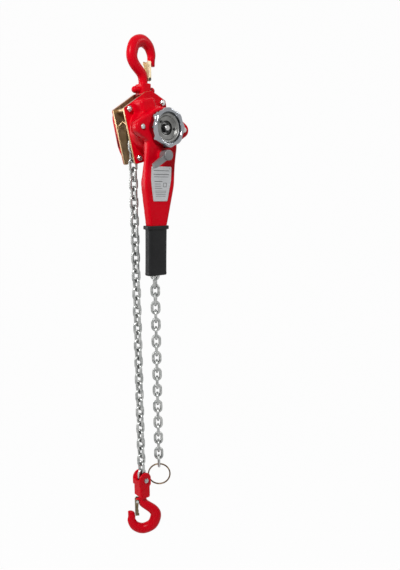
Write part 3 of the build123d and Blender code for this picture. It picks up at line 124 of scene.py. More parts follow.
def noiseOf(tree, coords, scale, detail=3.0, roughness=0.5):
    noise = tree.nodes.new("ShaderNodeTexNoise")
    noise.inputs["Scale"].default_value = scale
    noise.inputs["Detail"].default_value = detail
    noise.inputs["Roughness"].default_value = roughness
    tree.links.new(coords, noise.inputs["Vector"])
    return noise.outputs["Fac"]


def rampOf(tree, factor, stops):
    ramp = tree.nodes.new("ShaderNodeValToRGB")
    elements = ramp.color_ramp.elements
    while len(elements) < len(stops):
        elements.new(0.5)
    for element, (place, colour) in zip(elements, stops):
        element.position = place
        element.color = (*colour, 1.0)
    tree.links.new(factor, ramp.inputs["Fac"])
    return ramp.outputs["Color"]


def spreadOf(tree, factor, low, high):
    # Noise lies mostly between 0.3 and 0.7, which is stretched over the whole range.
    spread = tree.nodes.new("ShaderNodeMapRange")
    spread.inputs["From Min"].default_value = 0.3
    spread.inputs["From Max"].default_value = 0.7
    spread.inputs["To Min"].default_value = low
    spread.inputs["To Max"].default_value = high
    tree.links.new(factor, spread.inputs["Value"])
    return spread.outputs["Result"]


def bumpOf(tree, shader, height, strength, distance):
    bump = tree.nodes.new("ShaderNodeBump")
    bump.inputs["Strength"].default_value = strength
    bump.inputs["Distance"].default_value = distance
    tree.links.new(height, bump.inputs["Height"])
    tree.links.new(bump.outputs["Normal"], shader.inputs["Normal"])


finishes = {
    # stops: place in the noise and colour; rough: range of roughness;
    # grain: noise scales of colour, roughness and bump; depth: of the bump, in metres
    "red_paint": dict(
        stops=[(0.3, (0.66, 0.0002, 0.008)), (0.7, (0.78, 0.0004, 0.014))],
        metal=0.0, rough=(0.22, 0.3), grain=(14, 60, 420), depth=0.00004, shine=0.09,
    ),
    "zinc_yellow": dict(
        stops=[(0.28, (0.20, 0.14, 0.07)), (0.45, (0.40, 0.27, 0.14)),
               (0.6, (0.52, 0.38, 0.23)), (0.72, (0.38, 0.20, 0.16))],
        metal=0.85, rough=(0.26, 0.46), grain=(34, 90, 700), depth=0.00004,
    ),
    "latch_plating": dict(
        stops=[(0.3, (0.50, 0.40, 0.24)), (0.55, (0.72, 0.60, 0.40)), (0.75, (0.62, 0.48, 0.26))],
        metal=0.7, rough=(0.3, 0.46), grain=(120, 200, 900), depth=0.00003,
    ),
    # the latch plating again, darker, for the load latch: the darkness is painted shade
    "shaded_latch_plating": dict(
        stops=[(0.3, (0.09, 0.07, 0.035)), (0.7, (0.20, 0.16, 0.09))],
        metal=0.75, rough=(0.3, 0.46), grain=(120, 200, 900), depth=0.00003,
    ),
    "zinc_silver": dict(
        stops=[(0.3, (0.36, 0.36, 0.35)), (0.7, (0.56, 0.56, 0.55))],
        metal=0.95, rough=(0.18, 0.34), grain=(90, 200, 900), depth=0.00003,
    ),
    "galvanised": dict(
        stops=[(0.3, (0.24, 0.25, 0.25)), (0.5, (0.38, 0.39, 0.38)), (0.7, (0.54, 0.54, 0.53))],
        metal=0.95, rough=(0.2, 0.36), grain=(150, 260, 1100), depth=0.00006,
    ),
    "chrome": dict(
        stops=[(0.3, (0.24, 0.25, 0.27)), (0.7, (0.34, 0.35, 0.37))],
        metal=1.0, rough=(0.08, 0.14), grain=(20, 120, 500), depth=0.000008,
    ),
    "dish": dict(
        stops=[(0.3, (0.15, 0.15, 0.145)), (0.7, (0.25, 0.25, 0.24))],
        metal=0.9, rough=(0.3, 0.42), grain=(80, 200, 1400), depth=0.00003,
    ),
    "blacked": dict(
        stops=[(0.3, (0.012, 0.012, 0.012)), (0.7, (0.05, 0.05, 0.048))],
        metal=0.6, rough=(0.3, 0.5), grain=(120, 260, 1100), depth=0.00004,
    ),
    "machined": dict(
        stops=[(0.3, (0.34, 0.34, 0.34)), (0.7, (0.48, 0.47, 0.46))],
        metal=0.95, rough=(0.3, 0.45), grain=(60, 180, 900), depth=0.00004,
    ),
    "friction": dict(
        stops=[(0.3, (0.10, 0.07, 0.05)), (0.7, (0.17, 0.13, 0.10))],
        metal=0.0, rough=(0.7, 0.85), grain=(400, 300, 1200), depth=0.00008,
    ),
    "bronze": dict(
        stops=[(0.3, (0.46, 0.28, 0.13)), (0.7, (0.60, 0.40, 0.20))],
        metal=0.95, rough=(0.35, 0.5), grain=(200, 260, 1200), depth=0.00004,
    ),
    "rubber": dict(
        stops=[(0.3, (0.005, 0.0052, 0.0056)), (0.7, (0.010, 0.0102, 0.011))],
        metal=0.0, rough=(0.38, 0.54), grain=(40, 160, 900), depth=0.00014, shine=0.2,
    ),
    "dark_ring": dict(
        stops=[(0.3, (0.05, 0.03, 0.02)), (0.5, (0.14, 0.09, 0.05)), (0.72, (0.34, 0.24, 0.14))],
        metal=0.85, rough=(0.3, 0.5), grain=(180, 260, 1200), depth=0.00005,
    ),
    "selector_grey": dict(
        stops=[(0.3, (0.17, 0.17, 0.175)), (0.7, (0.23, 0.23, 0.235))],
        metal=0.25, rough=(0.3, 0.42), grain=(60, 200, 1000), depth=0.00006, coat=0.2,
    ),
    "spring_steel": dict(
        stops=[(0.3, (0.25, 0.25, 0.26)), (0.7, (0.36, 0.36, 0.37))],
        metal=0.95, rough=(0.25, 0.4), grain=(200, 260, 1200), depth=0.00002,
    ),
}
plainFinish = {"shine": 0.5, "coat": 0.0, "coatRough": 0.06, "bump": 0.35}


def makeFinish(name, look):
    look = plainFinish | look
    material, tree, shader, coords = newMaterial(name)
    colourGrain, roughGrain, bumpGrain = look["grain"]
    colour = rampOf(tree, noiseOf(tree, coords, colourGrain, 4), look["stops"])
    tree.links.new(colour, shader.inputs["Base Color"])
    roughness = spreadOf(tree, noiseOf(tree, coords, roughGrain), *look["rough"])
    tree.links.new(roughness, shader.inputs["Roughness"])
    shader.inputs["Metallic"].default_value = look["metal"]
    shader.inputs["Specular IOR Level"].default_value = look["shine"]
    shader.inputs["Coat Weight"].default_value = look["coat"]
    shader.inputs["Coat Roughness"].default_value = look["coatRough"]
    bumpOf(tree, shader, noiseOf(tree, coords, bumpGrain, 2), look["bump"], look["depth"])
    return material


barePlate = {
    "stretch": (12, 12, 260), "scale": 9, "detail": 5, "roughness": 0.6,
    "stops": [(0.3, (0.40, 0.41, 0.42)), (0.7, (0.54, 0.55, 0.56))],
    "rough": (0.3, 0.46), "metal": 0.75, "bump": (0.2, 0.00003),
}


def makeBarePlate():
    # Brushed plate: noise stretched across the lever, and nothing printed on it.
    material, tree, shader, coords = newMaterial("plate_bare")
    mapping = tree.nodes.new("ShaderNodeMapping")
    mapping.inputs["Scale"].default_value = barePlate["stretch"]
    tree.links.new(coords, mapping.inputs["Vector"])
    grain = (barePlate[key] for key in ("scale", "detail", "roughness"))
    brushed = noiseOf(tree, mapping.outputs["Vector"], *grain)
    tree.links.new(rampOf(tree, brushed, barePlate["stops"]), shader.inputs["Base Color"])
    tree.links.new(spreadOf(tree, brushed, *barePlate["rough"]), shader.inputs["Roughness"])
    shader.inputs["Metallic"].default_value = barePlate["metal"]
    bumpOf(tree, shader, brushed, *barePlate["bump"])
    return material


materials = {name: makeFinish(name, look) for name, look in finishes.items()}
materials["plate_bare"] = makeBarePlate()
print("materials made")


def roundOf(count):
    return np.linspace(0, 2 * np.pi, count, endpoint=False)


def squaredRound(around, power):
    # Reach of a circle pushed out towards a square, more so with a higher power.
    return (np.abs(np.cos(around)) ** power + np.abs(np.sin(around)) ** power) ** (-1 / power)


def meshPiece(name, vertices, faces, smooth=True):
    mesh = bpy.data.meshes.new(name)
    mesh.from_pydata(vertices.tolist(), [], faces.tolist())
    mesh.polygons.foreach_set("use_smooth", np.full(len(mesh.polygons), smooth))
    mesh.update()
    return linked(name, mesh)


def gridFaces(rows, columns, closedRows=False, closedColumns=True):
    # Quads over a grid of points, row by row; closed means the last joins the first.
    row = np.arange(rows if closedRows else rows - 1)
    column = np.arange(columns if closedColumns else columns - 1)
    row, column = (part.ravel() for part in np.meshgrid(row, column, indexing="ij"))
    nextRow, nextColumn = (row + 1) % rows, (column + 1) % columns
    return np.stack([row * columns + column, row * columns + nextColumn,
                     nextRow * columns + nextColumn, nextRow * columns + column], axis=1)


def merged(parts):
    # Several (vertices, faces) pairs as one.
    start = 0
    allVertices, allFaces = [], []
    for vertices, faces in parts:
        allVertices.append(vertices)
        allFaces.append(faces + start)
        start += len(vertices)
    return np.concatenate(allVertices), np.concatenate(allFaces)


def turned(points, axis, degrees):
    spin = np.array(Matrix.Rotation(np.radians(degrees), 3, axis))
    return points @ spin.T


@contextmanager
def edited(mesh):
    work = bmesh.new()
    work.from_mesh(mesh)
    yield work
    work.to_mesh(mesh)
    work.free()


def tidyMesh(piece, join=0.000002):
    # Closes seams and poles, drops faces without area and turns all faces outwards.
    with edited(piece.data) as work:
        bmesh.ops.remove_doubles(work, verts=work.verts, dist=join)
        bmesh.ops.dissolve_degenerate(work, edges=work.edges, dist=join)
        bmesh.ops.recalc_face_normals(work, faces=work.faces)


def sharpEdges(piece, degrees):
    # Smooth faces, with the edges that turn by more than this kept crisp.
    limit = float(np.radians(degrees))
    with edited(piece.data) as work:
        for edge in work.edges:
            edge.smooth = len(edge.link_faces) == 2 and edge.calc_face_angle(0) < limit
        for face in work.faces:
            face.smooth = True


replacedNodes = set()


def finishPiece(piece, node, finish=None):
    # The piece takes the node's place, on its body and in its material slot.
    replacedNodes.add(node)
    piece.data.materials.clear()
    piece.data.materials.append(materials[finish or slotOf[node]])
    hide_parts(node)
    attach(piece, bodyOf[node])


hookShape = {
    # millimetres from the seat, in the hook's plane; a row is place, heading, width and depth
    "bowl": 16.5, "shank": 17.5, "shankRows": [-83.5, -76.0, -69.0, -60.0],
    "neck": (-3.2, -48.5, 118.0, 20.0, 18.0),
    "bend": [  # bearing round the bowl, width, depth
        (213, 21.5, 17.5), (180, 23.5, 18.5), (135, 23.5, 19.0),
        (90, 22.5, 19.0), (50, 20.5, 18.0), (15, 18.0, 16.0),
    ],
    "tip": [(24.2, -20.5, -88.0, 16.0, 14.0), (25.0, -29.0, -85.0, 14.0, 11.0)],
    "tipLong": 2.2, "tipSlant": 0.3, "slantRows": 5, "capRows": 8,
    "steps": 12, "round": 40,
    "yaw": {"top_hook": 10.0, "load_hook": 30.0},  # turn of each hook about its own shank
    "underSeat": 22.5,  # from the seat to the outside of the bowl
}
lugShape = {
    # millimetres; square is the power that pushes the section's corners out
    "pivot": (11.5, -57.0), "long": 7.5, "half": 3.4, "radius": 3.2,
    "rows": 8, "endRows": 6, "endFrom": 0.2, "square": 6, "flat": 0.1, "round": 32,
}


def hookStations():
    # Rows of place (x, z), heading, width and depth from the shank to the tip.
    shank = hookShape["shank"]
    rows = [(0.0, height, 90.0, shank, shank) for height in hookShape["shankRows"]]
    rows.append(hookShape["neck"])
    for bearing, width, depth in hookShape["bend"]:
        reach = hookShape["bowl"] + width / 2
        turn = np.radians(bearing)
        rows.append((reach * np.cos(turn), reach * np.sin(turn) - hookShape["bowl"],
                     bearing - 90.0, width, depth))
    return np.array(rows + hookShape["tip"])


def throughPoints(rows, steps):
    # Hermite cubic through the rows, its slopes taken from the neighbours.
    slopes = np.gradient(rows, axis=0)
    share = np.linspace(0, 1, steps, endpoint=False)[:, None]
    into = 3 * share**2 - 2 * share**3
    leaving, arriving = share**3 - 2 * share**2 + share, share**3 - share**2
    spans = [
        (1 - into) * rows[start] + leaving * slopes[start]
        + into * rows[start + 1] + arriving * slopes[start + 1]
        for start in range(len(rows) - 1)
    ]
    return np.concatenate(spans + [rows[-1:]])


def hookSurface():
    # Ellipses carried along the hook's line: width in the hook's plane, depth across it.
    # The last ones shrink with a root of the cosine, which closes the tip.
    rows = throughPoints(hookStations(), hookShape["steps"])
    closing = np.linspace(0, np.pi / 2, hookShape["capRows"] + 1)[1:]
    heading = np.radians(rows[-1, 2])
    ends = np.repeat(rows[-1:], len(closing), axis=0)
    ends[:, 0] += np.cos(heading) * np.sin(closing) * hookShape["tipLong"]
    ends[:, 1] += np.sin(heading) * np.sin(closing) * hookShape["tipLong"]
    ends[:, 3:] *= np.cos(closing)[:, None] ** 0.5
    slanted = hookShape["slantRows"]
    slant = np.concatenate(
        [np.zeros(len(rows) - slanted), np.linspace(0, 1, slanted), np.ones(len(ends))])
    rows = np.concatenate([rows, ends])
    around = roundOf(hookShape["round"])
    heading = np.radians(rows[:, 2])[:, None]
    inPlane = np.cos(around) * rows[:, 3:4] / 2
    across = np.sin(around) * rows[:, 4:5] / 2
    longer = slant[:, None] * hookShape["tipSlant"] * inPlane  # the tip's outer side runs on
    x = rows[:, 0:1] - np.sin(heading) * inPlane + np.cos(heading) * longer
    z = rows[:, 1:2] + np.cos(heading) * inPlane + np.sin(heading) * longer
    points = np.stack([x, across, z], axis=-1)
    return points.reshape(-1, 3), gridFaces(len(rows), len(around))


def lugSurface():
    # A stub with a rounded square section from the shank out to the latch pin, where it closes
    # along a quarter turn of sine and cosine.
    straight = lugShape["rows"]
    end = np.linspace(lugShape["endFrom"], np.pi / 2, lugShape["endRows"])
    along = np.concatenate([np.linspace(0, 1, straight), np.ones(len(end))])
    squeeze = np.concatenate([np.ones(straight), np.cos(end)])
    bulge = np.concatenate([np.zeros(straight), np.sin(end)])
    around = roundOf(lugShape["round"])
    corner = squaredRound(around, lugShape["square"])
    radius = lugShape["radius"]
    pivotX, pivotZ = lugShape["pivot"]
    x = pivotX + (along - 1) * lugShape["long"] + bulge * radius
    y = squeeze[:, None] ** lugShape["flat"] * corner * np.cos(around) * lugShape["half"]
    z = pivotZ + squeeze[:, None] * corner * np.sin(around) * radius
    points = np.stack([x[:, None] + 0 * z, y, z], axis=-1)
    return points.reshape(-1, 3), gridFaces(len(x), len(around))


def makeHook(node, place):
    vertices, faces = merged([hookSurface(), lugSurface()])
    piece = meshPiece(f"{node}_forged", vertices * mm, faces)
    piece.data.transform(place @ Matrix.Rotation(np.radians(hookShape["yaw"][node]), 4, "Z"))
    tidyMesh(piece)
    finishPiece(piece, node)


loadSeat = boxOf("load_hook")[0][2] + hookShape["underSeat"] * mm
loadMiddle = Matrix.Translation((fallTop["load"][0], 0, loadSeat))
makeHook("top_hook", Matrix.Identity(4))
makeHook("load_hook", loadMiddle @ Matrix.Rotation(np.pi, 4, "Y"))
print("hooks made")


chainShape = {
    # millimetres; the twist of the free fall starts at one link and is spread over some more
    "wire": 5.9, "pitch": 18.0, "width": 20.4, "play": 0.15, "weld": 0.055, "weldLong": 1.6,
    "bendRows": 13, "sideRows": 5, "round": 14,
    "twist": 53.6, "twistFrom": 4, "twistOver": 16, "turn": 11.0, "pockets": 4,
    "loadLinks": 40, "tailLinks": 39, "inside": 3,
}
chainPitch = chainShape["pitch"] * mm
inside = chainShape["inside"]  # links of each fall that hang inside the side plates
linkBend = (chainShape["width"] - chainShape["wire"]) / 2
linkStraight = (chainShape["pitch"] + chainShape["wire"] + chainShape["play"]) / 2 - linkBend


def linkSurface():
    # A round wire carried round a stadium, a little thicker at the weld on one straight side,
    # along a bell curve.
    arc = np.linspace(0, np.pi, chainShape["bendRows"])
    side = np.linspace(-linkStraight, linkStraight, chainShape["sideRows"] + 2)[1:-1]
    still, cosine, sine = 0 * side, np.cos(arc), np.sin(arc)
    outX = np.concatenate([cosine, still - 1, -cosine, still + 1])
    outZ = np.concatenate([sine, still, -sine, still])
    x = linkBend * outX
    z = linkBend * outZ + np.concatenate(
        [linkStraight + 0 * arc, side[::-1], -linkStraight + 0 * arc, side])
    weld = np.exp(-((z / chainShape["weldLong"]) ** 2)) * (outX > 0.99)
    radius = chainShape["wire"] / 2 * (1 + chainShape["weld"] * weld)[:, None]
    around = roundOf(chainShape["round"])
    points = np.stack([x[:, None] + outX[:, None] * radius * np.cos(around),
                       radius * np.sin(around),
                       z[:, None] + outZ[:, None] * radius * np.cos(around)], axis=-1)
    return points.reshape(-1, 3) * mm, gridFaces(len(x), len(around), closedRows=True)


def hangingLink(fall, number, turn):
    # Links count from the sheave, and the first one outside the plates is a node of its own.
    x, _, z = fallTop[fall]
    vertices, faces = linkSurface()
    place = np.array([x, 0, z + (inside - number) * chainPitch])
    return turned(vertices, "Z", turn) + place, faces


def loadLink(number):
    return hangingLink("load", number, 90 * ((number + 1) % 2))


def tailLink(number):
    share = min(max((number - chainShape["twistFrom"]) / chainShape["twistOver"], 0), 1)
    return hangingLink("tail", number, 90 * (number % 2) + chainShape["twist"] * share)


def sheaveLinks():
    # Round the sheave every other link lies flat in a pocket, and the next stands in the groove.
    rest = chainShape["pitch"] - linkStraight
    step = np.pi / chainShape["pockets"]
    flatAngle = np.arctan2(np.sin(step), linkStraight / rest + np.cos(step))
    jointRadius = rest / np.sin(flatAngle)
    links = []
    for number in range(chainShape["pockets"]):
        standing = number % 2
        bearing = flatAngle - np.radians(chainShape["turn"]) + number * step
        reach = jointRadius * np.cos(step - flatAngle if standing else flatAngle) * mm
        vertices, faces = linkSurface()
        vertices = turned(vertices, "Z", 0 if standing else 90)
        vertices = turned(vertices, "Y", -np.degrees(bearing))
        place = shaftAt + reach * np.array([np.cos(bearing), 0, np.sin(bearing)])
        links.append((vertices + place, faces))
    return links


def makeChain(node, links):
    piece = meshPiece(f"{node}_links", *merged(links))
    finishPiece(piece, node)


fallsInside = [fall(number) for fall in (loadLink, tailLink) for number in range(inside)]
lastLoad, lastTail = chainShape["loadLinks"] - 1, chainShape["tailLinks"] - 1
makeChain("chain_over_sheave", sheaveLinks() + fallsInside)
makeChain("load_chain_top_link", [loadLink(inside)])
makeChain("load_chain", [loadLink(number) for number in range(inside + 1, lastLoad)])
makeChain("load_chain_end_link", [loadLink(lastLoad)])
makeChain("tail_chain_top_link", [tailLink(inside)])
makeChain("tail_chain", [tailLink(number) for number in range(inside + 1, lastTail + 1)])
print("chain made")


ringShape = {"radius": 23.5, "wire": 1.6, "joint": 3.9, "jointDepth": 0.16, "jointLong": 0.5,
             "rows": 96, "round": 16}


def makeRing():
    # A torus that hangs in the last link of the free fall. Where its two ends are butted and
    # soldered, the wire thins along a bell curve.
    radius = ringShape["radius"]
    along = roundOf(ringShape["rows"])[:, None]
    around = roundOf(ringShape["round"])
    gap = (along - ringShape["joint"]) * radius
    neck = np.exp(-((gap / ringShape["jointLong"]) ** 2))
    wire = ringShape["wire"] * (1 - ringShape["jointDepth"] * neck)
    reach = radius + wire * np.cos(around)
    x, y, z = reach * np.cos(along), wire * np.sin(around), reach * np.sin(along)
    points = np.stack([x, y, z], axis=-1).reshape(-1, 3) * mm
    points = turned(points, "Z", chainShape["twist"] - 90)
    faces = gridFaces(len(along), len(around), closedRows=True)
    piece = meshPiece("end_ring_wire", points + middleOf("end_ring"), faces)
    tidyMesh(piece)
    finishPiece(piece, "end_ring")


makeRing()


leverTilt = -1.8  # the lever hangs nearly plumb
gripShape = {
    # millimetres from the main shaft; collar and lip stand out wide and deep, and are so long
    "top": 178.0, "bottom": 274.0, "halfWidth": 21.3, "back": -36.0, "front": -55.0,
    "collar": (3.6, 2.6, 7.2), "collarEdge": 5, "collarStart": (1.2, 0.65),
    "lip": (1.3, 1.1, 6.5), "lipCurve": 1.5, "footRound": 4.0, "waist": 0.012, "square": 5.5,
    "rows": [(0, 10, 32), (10.6, 88, 40), (88.4, 96, 28)],  # from, to and number
    "topCap": (0.0, 0.55, 0.8), "footCap": (0.8, 0.4, 0.0), "round": 96, "crisp": 50,
}


def gripOutline(down):
    # Half the width and half the depth of the grip, so far down from its top: the collar ends
    # along a logistic curve, the lip swells with a power of the height, and the foot rounds off.
    length = gripShape["bottom"] - gripShape["top"]
    collarWide, collarDeep, collarLong = gripShape["collar"]
    startLong, startShare = gripShape["collarStart"]
    lipWide, lipDeep, lipLong = gripShape["lip"]
    footRound = gripShape["footRound"]
    collar = 1 / (1 + np.exp((down - collarLong) * gripShape["collarEdge"]))
    collar *= startShare + (1 - startShare) * np.clip(down / startLong, 0, 1) ** 0.5
    lip = np.clip((down - (length - lipLong)) / lipLong, 0, 1) ** gripShape["lipCurve"]
    waist = 1 - gripShape["waist"] * np.sin(np.pi * down / length)
    shrink = footRound * (1 - np.clip((length - down) / footRound, 0, 1) ** 0.25)
    halfDepth = (gripShape["back"] - gripShape["front"]) / 2
    wide = (gripShape["halfWidth"] + collar * collarWide + lip * lipWide) * waist - shrink
    deep = halfDepth + collar * collarDeep + lip * lipDeep - shrink
    return wide[:, None], deep[:, None]


def makeGrip():
    # A rounded rectangle carried down the lever, closed at its top and foot by smaller copies.
    down = np.concatenate([np.linspace(*span) for span in gripShape["rows"]])
    wide, deep = gripOutline(down)
    around = roundOf(gripShape["round"])
    corner = squaredRound(around, gripShape["square"])
    middleY = (gripShape["front"] + gripShape["back"]) / 2
    x = wide * corner * np.cos(around)
    y = middleY + deep * corner * np.sin(around)
    z = -(gripShape["top"] + down)[:, None] + 0 * x
    rows = np.stack([x, y, z], axis=-1)
    caps = []
    for row, shares in ((rows[0], gripShape["topCap"]), (rows[-1], gripShape["footCap"])):
        centre = np.array([0, middleY, row[0, 2]])
        caps.append(np.stack([centre + (row - centre) * share for share in shares]))
    rows = np.concatenate([caps[0], rows, caps[1]])
    points = turned(rows.reshape(-1, 3) * mm, "Y", -leverTilt) + shaftAt
    piece = meshPiece("lever_grip_moulded", points, gridFaces(len(rows), len(around)))
    tidyMesh(piece)
    sharpEdges(piece, gripShape["crisp"])
    finishPiece(piece, "lever_grip")


makeGrip()
print("ring and grip made")


wheelShape = {
    # profiles of radius and depth along the shaft, in millimetres
    "rim": [(16.0, -66.5), (16.0, -72.9), (23.5, -72.9), (31.5, -76.0), (31.5, -69.5),
            (33.0, -69.0), (35.0, -69.5), (35.5, -71.0), (35.5, -82.0), (35.2, -83.9),
            (34.4, -85.5), (33.1, -86.6), (31.5, -87.0), (29.9, -86.8), (28.5, -86.2),
            (27.4, -85.0), (26.6, -83.2), (25.6, -79.6)],
    "dish": [(25.6, -79.6), (24.6, -78.7), (22.8, -78.5), (21.9, -78.0), (21.0, -76.2),
             (20.2, -75.5), (18.0, -75.5), (13.6, -75.5), (13.0, -75.3), (12.8, -74.8)],
    "well": [(12.8, -74.8), (12.4, -72.6), (11.0, -72.5), (10.4, -72.4), (10.3, -66.5),
             (16.0, -66.5)],
    "finishes": {"rim": "chrome", "dish": "dish", "well": "blacked"},
    "lobes": 8, "lobeDepth": 2.3, "lobeCurve": 1.4, "phase": 22.5, "fade": (28.5, 6.0),
    "steps": 3, "round": 192, "join": 0.00001, "crisp": 40,
}


def wheelSurface(profile):
    # A profile turned about the shaft. Its radius dips between the lobes with a power of the
    # cosine, and the dips fade out inwards from the rim.
    rows = np.array(profile)
    share = np.linspace(0, 1, wheelShape["steps"] + 1)[1:, None]
    spans = [first + (last - first) * share for first, last in zip(rows[:-1], rows[1:])]
    rows = np.concatenate([rows[:1]] + spans)
    around = roundOf(wheelShape["round"])
    phase = wheelShape["lobes"] * (around - np.radians(wheelShape["phase"]))
    wave = (0.5 + 0.5 * np.cos(phase)) ** wheelShape["lobeCurve"]
    fadeFrom, fadeOver = wheelShape["fade"]
    reach = rows[:, 0:1]
    weight = np.clip((reach - fadeFrom) / fadeOver, 0, 1)
    reach = reach - weight * wheelShape["lobeDepth"] * wave
    points = np.stack([mainX / mm + reach * np.cos(around), rows[:, 1:2] + 0 * reach,
                       mainZ / mm + reach * np.sin(around)], axis=-1)
    return points.reshape(-1, 3) * mm, gridFaces(len(rows), len(around))


def makeWheel():
    parts = [wheelSurface(wheelShape[part]) for part in wheelShape["finishes"]]
    first, *others = wheelShape["finishes"].values()
    piece = meshPiece("hand_wheel_cast", *merged(parts))
    finishPiece(piece, "hand_wheel", first)
    for finish in others:
        piece.data.materials.append(materials[finish])
    partOf = np.repeat(np.arange(len(parts)), [len(faces) for _, faces in parts])
    piece.data.polygons.foreach_set("material_index", partOf)
    tidyMesh(piece, wheelShape["join"])
    sharpEdges(piece, wheelShape["crisp"])


makeWheel()
print("hand wheel made")


# Pieces that keep the shape of their node, with crisp or broken edges.
brokenEdges = {
    # node: width of the broken edge in millimetres, angle over which an edge counts
    "gear_cover": (1.2, 35), "lever_back_plate": (0.3, 40), "top_yoke": (0.6, 35),
    "load_yoke": (0.8, 35), "top_yoke_studs": (0.2, 40), "top_latch": (0.2, 40),
    "load_latch": (0.2, 40), "front_side_plate": (0.3, 40), "back_side_plate": (0.3, 40),
    "chain_guide": (0.3, 20), "stay_nuts": (0.2, 35), "ear_screws": (0.2, 40),
    "selector": (0.5, 35), "nameplate": (0.15, 40), "chain_pin": (0.25, 40),
    "castle_nut": (0.2, 40), "stay_rods": (0.0, 40), "guide_roller": (0.0, 40),
    "load_sheave": (0.3, 40), "top_latch_pin": (0.2, 40), "load_latch_pin": (0.2, 40),
    "wheel_screws": (0.2, 40), "cotter_pin": (0.0, 40), "top_pin": (0.2, 40),
    "load_yoke_studs": (0.2, 40), "lever_tang": (0.4, 40),
}
# The load latch takes the darker copy of the latch plating, which is painted shade.
otherFinish = {
    "castle_nut": "blacked", "cotter_pin": "blacked", "wheel_screws": "blacked",
    # the top latch pin takes the black finish, which makes the latch's pivot end dark
    "top_latch": "latch_plating", "load_latch": "shaded_latch_plating", "top_latch_pin": "blacked",
    "chain_pin": "machined",
}
cadMesh = {"join": 0.000004, "flat": 0.4}


def copyOf(node):
    # The node's own mesh as a new piece, its loose triangles joined.
    piece = linked(f"{node}_finished", nodes[node].data.copy())
    flat = np.radians(cadMesh["flat"])
    with edited(piece.data) as work:
        bmesh.ops.remove_doubles(work, verts=work.verts, dist=cadMesh["join"])
        bmesh.ops.dissolve_limit(work, angle_limit=flat, verts=work.verts, edges=work.edges)
    return piece


def dress(node, width, angle):
    piece = copyOf(node)
    sharpEdges(piece, angle)
    if width:
        bevel = piece.modifiers.new("edges", "BEVEL")
        bevel.width = width * mm
        bevel.segments = 2
        bevel.limit_method = "ANGLE"
        bevel.angle_limit = np.radians(angle)
    finishPiece(piece, node, otherFinish.get(node))
    return piece


softCastings = {
    # node: size of the even grid in millimetres, rounds of smoothing
    "lever_shell": (0.95, 40), "brake_cover": (0.75, 10),
}


def soften(node, grid, rounds):
    # Pressed and cast shapes: the mesh is laid out evenly, then its edges are relaxed.
    piece = copyOf(node)
    even = piece.modifiers.new("even", "REMESH")
    even.mode = "VOXEL"
    even.voxel_size = grid * mm
    relax = piece.modifiers.new("relax", "SMOOTH")
    relax.factor = 0.5
    relax.iterations = rounds
    ready = piece.evaluated_get(bpy.context.evaluated_depsgraph_get())
    soft = bpy.data.meshes.new_from_object(ready)
    piece.modifiers.clear()
    piece.data = soft
    soft.polygons.foreach_set("use_smooth", np.full(len(soft.polygons), True))
    finishPiece(piece, node)
    print(node, "softened to", len(soft.polygons), "faces")


nutFace = 19.2  # the ends of the stay rods stand out of the nuts from here, in millimetres


def platedEnds(rods):
    rods.materials.append(materials["zinc_silver"])
    for face in rods.polygons:
        face.material_index = int(abs(face.center.y) > nutFace * mm)


dressed = {node: dress(node, *edge) for node, edge in brokenEdges.items()}
for node, casting in softCastings.items():
    soften(node, *casting)
platedEnds(dressed["stay_rods"].data)
for node, item in nodes.items():
    if node not in replacedNodes:
        item.data.materials.clear()
        item.data.materials.append(materials[slotOf[node]])
print("machined pieces finished")


plateLines = {
    # across and up the plate from its middle, in millimetres: left, low, right, high
    "bars": [
        (-18.5, 24.0, 18.5, 24.9), (-18.5, 17.0, 18.5, 17.9), (-17.0, 12.6, 17.0, 13.3),
        (-15.5, 4.0, 3.0, 5.0), (-15.0, -0.6, -1.0, 0.2), (-14.5, -4.6, -1.0, -3.8),
        (-14.2, -8.4, 3.0, -7.6), (5.5, -5.6, 13.2, -4.8), (5.5, 1.4, 13.2, 2.2),
        (5.5, -4.8, 6.3, 1.4), (12.4, -4.8, 13.2, 1.4), (-13.2, -13.4, 13.2, -12.7),
        (-12.6, -16.6, 12.6, -15.9), (-12.0, -19.8, 12.0, -19.1), (-11.4, -23.0, 11.4, -22.3),
    ],
    "proud": 0.06, "sunk": 0.03, "plateThick": 0.8, "middle": -100.0,
    "foot": (-61.0, -66.0), "head": (-55.5, -181.0),  # depth and height of the neck's ends
}


def makePlateLines():
    # Flat bars laid on the sloping face of the lever's neck, each a shallow box.
    footY, footZ = plateLines["foot"]
    headY, headZ = plateLines["head"]
    share = (plateLines["middle"] - footZ) / (headZ - footZ)
    middle = np.array([0, footY + share * (headY - footY), plateLines["middle"]])
    up = np.array([0, footY - headY, footZ - headZ])
    up = up / np.linalg.norm(up)
    out = np.cross([1.0, 0, 0], up)
    left, low, right, high = np.array(plateLines["bars"]).T[..., None]
    across = np.concatenate([left, right, right, left] * 2, axis=1)
    along = np.concatenate([low, low, high, high] * 2, axis=1)
    plateThick = plateLines["plateThick"]
    heights = [plateThick - plateLines["sunk"], plateThick + plateLines["proud"]]
    raised = np.repeat(heights, 4) + 0 * across
    points = (middle + across[..., None] * [1, 0, 0] + along[..., None] * up
              + raised[..., None] * out)
    box = np.array([[0, 3, 2, 1], [4, 5, 6, 7], [0, 1, 5, 4],
                    [1, 2, 6, 5], [2, 3, 7, 6], [3, 0, 4, 7]])
    faces = (box + 8 * np.arange(len(left))[:, None, None]).reshape(-1, 4)
    points = turned(points.reshape(-1, 3) * mm, "Y", -leverTilt) + shaftAt
    piece = meshPiece("nameplate_lines", points, faces, smooth=False)
    tidyMesh(piece)
    piece.data.materials.append(materials["blacked"])
    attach(piece, "lever")


makePlateLines()
print("nameplate ruled")


stage = {
    # metres; seen and white: how bright the backdrop and the sky look where they are seen
    "floor": -1.6, "size": 6.0, "flat": 1.6, "bend": 1.0, "tall": 4.0, "bendRows": 16,
    "pale": 0.8, "rough": 0.9, "sky": 0.17, "seen": 0.97, "white": 0.985,
}


